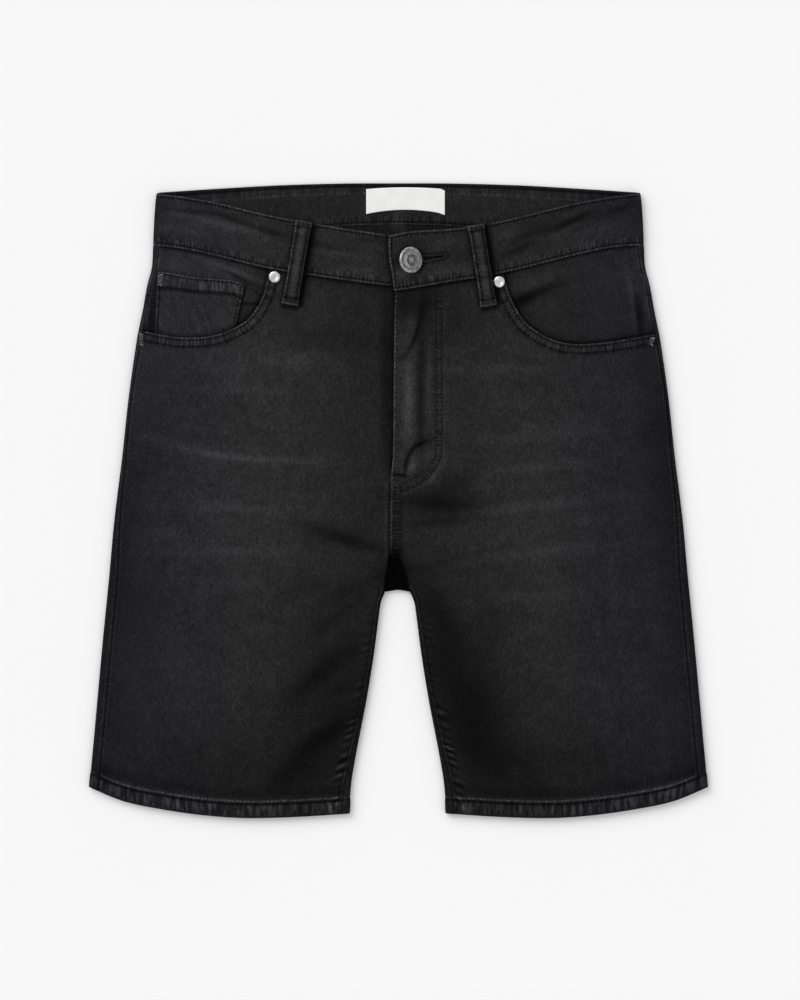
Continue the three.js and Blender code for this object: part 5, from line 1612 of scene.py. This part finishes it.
def grown_on(name, paths, made, inputs):
    """Runs a tree over paths and keeps the result as a plain mesh."""
    source = path_object(name + "_paths", paths)
    modifier = source.modifiers.new("thread", "NODES")
    modifier.node_group = made.tree
    for key, value in inputs.items():
        modifier[made.sockets[key].identifier] = value
    graph = bpy.context.evaluated_depsgraph_get()
    mesh = bpy.data.meshes.new_from_object(source.evaluated_get(graph))
    source.modifiers.remove(modifier)
    bpy.data.objects.remove(source)
    kept(placed(name, mesh), inputs["Thread"], "denim")


# Materials
class Finish(Nodes):
    """A material, with short calls for the nodes that its shader reads."""

    def __init__(self, name):
        self.material = bpy.data.materials.new(name)
        self.material.use_nodes = True
        super().__init__(self.material.node_tree)
        self.shader = next(n for n in self.tree.nodes if n.type == "BSDF_PRINCIPLED")
        self.place = self.add("ShaderNodeTexCoord").outputs["Object"]

    def chain(self, operation, first, *others):
        for other in others:
            first = self.math(operation, first, other)
        return first

    def plus(self, *values):
        return self.chain("ADD", *values)

    def times(self, *values):
        return self.chain("MULTIPLY", *values)

    def apart(self, a, b):
        return self.math("ABSOLUTE", self.math("SUBTRACT", a, b))

    def doubled(self, stops):
        """Light that doubles with each stop."""
        return self.math("POWER", 2.0, stops)

    def field(self, name):
        return self.add("ShaderNodeAttribute", attribute_name=name).outputs["Fac"]

    def noise(self, vector, scale, detail=3.0, rough=0.55):
        inputs = {"Vector": vector, "Scale": scale, "Detail": detail, "Roughness": rough}
        return self.add("ShaderNodeTexNoise", inputs).outputs["Fac"]

    def ribs(self, vector, pitch, way, inputs):
        """Even ribs across x or y."""
        inputs = {"Vector": vector, "Scale": WAVE_LONG / pitch, **inputs}
        return self.add("ShaderNodeTexWave", inputs, wave_type="BANDS", bands_direction=way).outputs["Fac"]

    def ramp(self, value, low, high, to_low=0.0, to_high=1.0):
        inputs = dict(enumerate((value, low, high, to_low, to_high)))
        return self.add("ShaderNodeMapRange", inputs, interpolation_type="SMOOTHSTEP").outputs[0]

    def vector(self, x, y, z=0.0):
        return self.add("ShaderNodeCombineXYZ", {0: x, 1: y, 2: z}).outputs[0]

    def mapped(self, turn, stretch=(1.0, 1.0, 1.0)):
        inputs = {"Vector": self.place, "Rotation": (0, 0, math.radians(turn)), "Scale": stretch}
        return self.add("ShaderNodeMapping", inputs).outputs[0]

    def bump(self, height, strength, depth):
        inputs = {"Height": height, "Strength": strength, "Distance": depth}
        self.set(Normal=self.add("ShaderNodeBump", inputs).outputs[0])

    def tinted(self, tone, light, **values):
        """Sets the colour, a tone scaled by light, and the shader's other values."""
        tint = self.add("ShaderNodeVectorMath", {0: tone, "Scale": light}, operation="SCALE").outputs[0]
        self.set(Base_Color=tint, **values)

    def set(self, **values):
        for key, value in values.items():
            self.put(self.shader.inputs[key.replace("_", " ")], value)


WAVE_LONG = 0.314
TWILL = {"turn": 38, "pitch": 1.05 * MM}
DYE = (0.0169, 0.0168, 0.0169)
COOL = {"from": 60, "to": 200, "blue": 1.11}
# Thread tones. The black is far darker than the cloth's dye, so its stitches also stand for painted shade in
# the pits they are pulled into
THREAD_TONES = {"black": (0.003, 0.003, 0.0032), "grey": (0.04, 0.04, 0.042), "pale": (0.42, 0.42, 0.42)}
ZIP_TONE = (0.012, 0.012, 0.013)
LABEL_TONE = (0.88, 0.88, 0.87)

# Darker rings on the button: centre, radius and breadth of each ring, light left, and its share across y. The
# first two are tarnish in its hollows, the last is painted shade on its right side
BUTTON_RINGS = ((10.6, 190.8, 7.2, 1.3, 0.66, 1.0), (10.3, 190.8, 2.7, 1.3, 0.4, 0.72),
                (17.0, 190.0, 0.0, 12.0, 0.72, 1.0))


def denim():
    """Black twill, faded by washing and worn, with painted light and shade, all read from the fields of each
    piece.
    """
    f = Finish("washed_black_denim")
    edge, run, rub, reach, crest, pitch, row_a, row_b, wash_and_shading = (f.field(key) for key in FIELDS)
    wander = {"Distortion": 3.0, "Detail": 2.0, "Detail Scale": 2.2}
    twill = f.ribs(f.mapped(TWILL["turn"]), TWILL["pitch"], "X", wander)
    grain = f.noise(f.mapped(0, (1.0, 0.8, 1.0)), 1050.0, 2.0, 0.6)
    fleck = f.noise(f.mapped(TWILL["turn"], (1.0, 0.45, 1.0)), 560.0, 3.0, 0.6)
    speck = f.noise(f.place, 1500.0, 1.0, 0.5)
    blot = f.noise(f.place, 130.0, 2.0, 0.5)
    cloud = f.noise(f.place, 46.0, 4.0)
    patch = f.noise(f.vector(f.times(run, 0.3), f.times(edge, 0.5)), 1.0)
    step = f.times(f.math("DIVIDE", run, pitch), 1.5)
    pucker = f.noise(f.vector(step, f.times(edge, 0.07)), 1.0, 2.0, 0.45)

    # Bright line along the crest of each edge, the puckered part that is sewn down, and painted shade in the
    # grooves of its rows
    bead = f.math("SINE", f.times(run, 2 * math.pi / STITCH_PITCH))
    crest_light = f.ramp(f.apart(edge, crest), 0.2, 1.3, 1.0, 0.0)
    line = f.times(crest_light, f.ramp(patch, 0.36, 0.62, 0.25, 1.0), f.ramp(bead, -1.0, 0.6, 0.5, 1.05))
    before_reach = f.ramp(f.math("SUBTRACT", edge, reach), 0.4, 2.0, 1.0, 0.0)
    sewn_part = f.times(f.ramp(edge, 0.8, 2.0), before_reach)
    rope = f.times(sewn_part, f.ramp(pucker, 0.42, 0.6, -0.62, 0.75))
    off_row = f.math("MINIMUM", f.apart(edge, row_a), f.apart(edge, row_b))
    groove = f.ramp(off_row, 0.3, 1.5, -0.75, 0.0)
    seams = f.times(rub, f.plus(f.times(line, 1.9), rope))

    # Stops of light, and the dye, which is cooler toward the sides
    threads = f.plus(f.ramp(grain, 0.3, 0.72, -0.5, 0.5), f.ramp(fleck, 0.32, 0.68, -0.26, 0.26),
                     f.times(f.math("SUBTRACT", twill, 0.5), 0.3))
    mottle = f.plus(f.ramp(cloud, 0.3, 0.7, -0.14, 0.14), f.ramp(blot, 0.3, 0.7, -0.13, 0.13))
    stops = f.plus(f.plus(wash_and_shading, seams), f.plus(threads, groove), f.ramp(speck, 0.62, 0.74, 0.0, 0.6), mottle)
    out_x = f.math("ABSOLUTE", f.add("ShaderNodeSeparateXYZ", {0: f.place}).outputs[0])
    blue = f.ramp(out_x, COOL["from"] * MM, COOL["to"] * MM, DYE[2], DYE[2] * COOL["blue"])
    f.tinted(f.vector(DYE[0], DYE[1], blue), f.doubled(stops), Roughness=0.92, Specular_IOR_Level=0.05)
    weave = f.plus(f.times(twill, 0.4), f.times(grain, 0.6))
    f.bump(f.plus(weave, f.times(f.times(sewn_part, rub), f.times(pucker, 2.0))), 0.5, 0.22 * MM)
    return f.material


def thread(name):
    """Sewing thread, its ply too fine to cut."""
    f = Finish(name + "_thread")
    ply = f.noise(f.place, 2600.0, 2.0)
    fade = f.noise(f.place, 90.0)
    stops = f.plus(f.ramp(ply, 0.3, 0.7, -0.3, 0.3), f.ramp(fade, 0.35, 0.65, -0.3, 0.3))
    f.tinted(THREAD_TONES[name], f.doubled(stops), Roughness=0.8, Specular_IOR_Level=0.1)
    f.bump(ply, 0.4, 0.1 * MM)
    return f.material


def metal(name, tone, rough, wear, rings=()):
    """Plated metal with fine scratches, darkened in the rings it is given: tarnish in hollows, and painted
    shade on a side.
    """
    f = Finish(name)
    scratch = f.noise(f.mapped(24, (1.0, 0.1, 1.0)), 2400.0, 2.0)
    cloud = f.noise(f.place, 620.0, 4.0)
    light = f.plus(f.ramp(cloud, 0.34, 0.64, 1.0 - wear, 1.0 + wear),
                   f.ramp(scratch, 0.35, 0.65, -0.06, 0.06))
    for x, y, radius, breadth, dim, tall in rings:
        inputs = {0: f.place, 1: (1.0, tall, 0.0), 2: (-x * MM, -y * tall * MM, 0.0)}
        off = f.add("ShaderNodeVectorMath", inputs, operation="MULTIPLY_ADD")
        far = f.add("ShaderNodeVectorMath", {0: off.outputs[0]}, operation="LENGTH").outputs["Value"]
        away = f.apart(far, radius * MM)
        light = f.times(light, f.ramp(away, 0.4 * breadth * MM, breadth * MM, dim, 1.0))
    f.tinted(tone, light, Metallic=1.0, Roughness=f.ramp(cloud, 0.3, 0.75, rough, rough + 0.22))
    f.bump(f.plus(scratch, cloud), 0.25, 0.05 * MM)
    return f.material


def woven_label():
    """Bare white woven tape, with a faint rib."""
    f = Finish("white_label_tape")
    rib = f.ribs(f.place, 0.7 * MM, "Y", {"Distortion": 0.6})
    soil = f.noise(f.place, 160.0)
    light = f.plus(f.ramp(soil, 0.3, 0.7, 0.94, 1.0), f.times(rib, 0.03))
    f.tinted(LABEL_TONE, light, Roughness=0.75, Specular_IOR_Level=0.3)
    f.bump(rib, 0.3, 0.1 * MM)
    return f.material


def tape():
    """Black woven tape of the zip."""
    f = Finish("black_zip_tape")
    weave = f.noise(f.mapped(0, (1.0, 0.3, 1.0)), 1600.0, 2.0)
    f.tinted(ZIP_TONE, f.ramp(weave, 0.3, 0.7, 0.7, 1.3), Roughness=0.85)
    f.bump(weave, 0.4, 0.1 * MM)
    return f.material


# The shorts
cloth = denim()
black, grey, pale = (thread(name) for name in THREAD_TONES)
aged = metal("aged_button_metal", (0.36, 0.36, 0.365), 0.3, 0.38, BUTTON_RINGS)
nickel = metal("rivet_nickel", (0.72, 0.72, 0.73), 0.22, 0.15)

for s, side in SIDE_NAME.items():
    kept(front_panel(s), cloth, "denim", f"front_{side}")
    kept(back_part(s, False), cloth, "denim", f"back_{side}")
    kept(back_part(s, True), cloth, "denim", f"yoke_{side}")
    kept(facing(s), cloth, "denim", f"pocket_facing_{side}")
    kept(front_loop(s), cloth, "denim", f"belt_loop_front_{side}")
    kept(back_pocket(s), cloth, "denim", f"back_pocket_{side}")
    kept(rivet(s), nickel, "nickel", f"rivet_{side}")
for name, middle in BACK_LOOP["tops"].items():
    kept(back_loop(name, middle), cloth, "denim", f"belt_loop_back_{name}")
kept(waistband(), cloth, "denim", "waistband")
kept(coin_pocket(), cloth, "denim", "coin_pocket")
kept(button(), aged, "aged_metal", "button")
kept(button_stem(), aged, "aged_metal")
kept(label(), woven_label(), "label", "label")
for node, material in (("fly_shield", cloth), ("zip", tape())):
    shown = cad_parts[node]
    shown.data.materials.clear()
    shown.data.materials.append(material)

front_rows()
band_rows()
small_rows()
stitches = {"Pitch": STITCH_PITCH * MM, "Stitch": STITCH_LONG * MM, "Width": MM, "Seed": STITCH_SEED,
            "Thread": black}
tacks = {"Width": TACK_WIDTH * MM, "Thread": grey}
stitching, cord = stitch_tree(stitches), cord_tree(tacks)
for side, paths in sewing.items():
    grown_on(f"topstitching_{side}", paths, stitching, {**stitches, "Width": STITCH_WIDTH[side] * MM})
grown_on("bar_tacks", loop_tacks() + hole_paths(), cord, tacks)
grown_on("fly_bar_tack", tack_paths(DARK_TACKS), cord, {**tacks, "Thread": black})
grown_on("pale_bar_tacks", tack_paths(PALE_TACKS), cord, {"Width": PALE_TACK_WIDTH * MM, "Thread": pale})

# Cloth as it is cut: width and length, the area of a cut that isn't a rectangle, and what the piece lies on
CUTS = (
    ("front_left_cloth", 0.245, 0.436, 0.0850, ["back_left_cloth"]),
    ("front_right_cloth", 0.245, 0.436, 0.0850, ["back_right_cloth"]),
    ("back_left_cloth", 0.265, 0.425, 0.0945, []),
    ("back_right_cloth", 0.265, 0.425, 0.0945, []),
    ("yoke_left_cloth", 0.215, 0.050, 0.0092, []),
    ("yoke_right_cloth", 0.215, 0.050, 0.0092, []),
    ("waistband_cloth", 0.800, 0.043, None, []),
    ("pocket_facing_left_cloth", 0.135, 0.091, 0.0101, ["yoke_left_cloth"]),
    ("pocket_facing_right_cloth", 0.113, 0.091, 0.0086, ["yoke_right_cloth"]),
    ("coin_pocket_cloth", 0.072, 0.061, 0.0034, ["pocket_facing_right_cloth"]),
    ("back_pocket_left_cloth", 0.130, 0.149, 0.0169, []),
    ("back_pocket_right_cloth", 0.130, 0.149, 0.0169, []),
    ("belt_loop_front_left_cloth", 0.0124, 0.068, None, ["waistband_cloth"]),
    ("belt_loop_front_right_cloth", 0.0124, 0.068, None, ["waistband_cloth"]),
    ("belt_loop_back_left_cloth", 0.0125, 0.060, None, []),
    ("belt_loop_back_middle_cloth", 0.0125, 0.060, None, []),
    ("belt_loop_back_right_cloth", 0.0125, 0.060, None, []),
    ("label_tape", 0.063, 0.020, None, ["waistband_cloth"]),
)
for name, width, length, cut_area, below in CUTS:
    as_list(below)

# Camera, floor and light
VIEW_CENTRE = Vector((1.2 * MM, -0.4 * MM, 6 * MM))
VIEW_LONG = 0.8
LENS = 110
SENSOR = 36
FLOOR_HALF = 4
FLOOR_Z = -0.0002
FLOOR_TONE = 0.979
SKY = 0.65
SUNS = (("key", 1.414, 46, (-1.5, 1.5, 1.5)), ("fill", 0.195, 44, (1.2, -1.6, 2.4)))

camera = placed("camera", bpy.data.cameras.new("camera"))
camera.data.lens = LENS
camera.data.sensor_width = SENSOR
camera.location = VIEW_CENTRE + Vector((0, 0, VIEW_LONG * LENS / SENSOR))
bpy.context.scene.camera = camera

floor_mesh = bpy.data.meshes.new("floor")
floor_mesh.from_pydata([(a * FLOOR_HALF, b * FLOOR_HALF, 0) for a, b in ((-1, -1), (1, -1), (1, 1), (-1, 1))],
                       [], [(0, 1, 2, 3)])
floor = placed("floor", floor_mesh)
floor.location.z = FLOOR_Z
floor_finish = Finish("pale_floor")
floor_finish.set(Base_Color=(FLOOR_TONE, FLOOR_TONE, FLOOR_TONE, 1), Roughness=0.9)
floor_mesh.materials.append(floor_finish.material)

# Each light is soft and even over the whole floor: strength, spread, and the side that it comes from
for name, strength, spread, place in SUNS:
    lamp = placed(name, bpy.data.lights.new(name, "SUN"))
    lamp.data.energy = strength
    lamp.data.angle = math.radians(spread)
    lamp.location = place
    lamp.rotation_euler = (-Vector(place)).to_track_quat("-Z", "Y").to_euler()
world = bpy.data.worlds.new("studio")
world.use_nodes = True
sky = world.node_tree.nodes["Background"].inputs
sky["Color"].default_value = (1, 1, 1, 1)
sky["Strength"].default_value = SKY
bpy.context.scene.world = world
bpy.context.scene.view_settings.view_transform = "Standard"
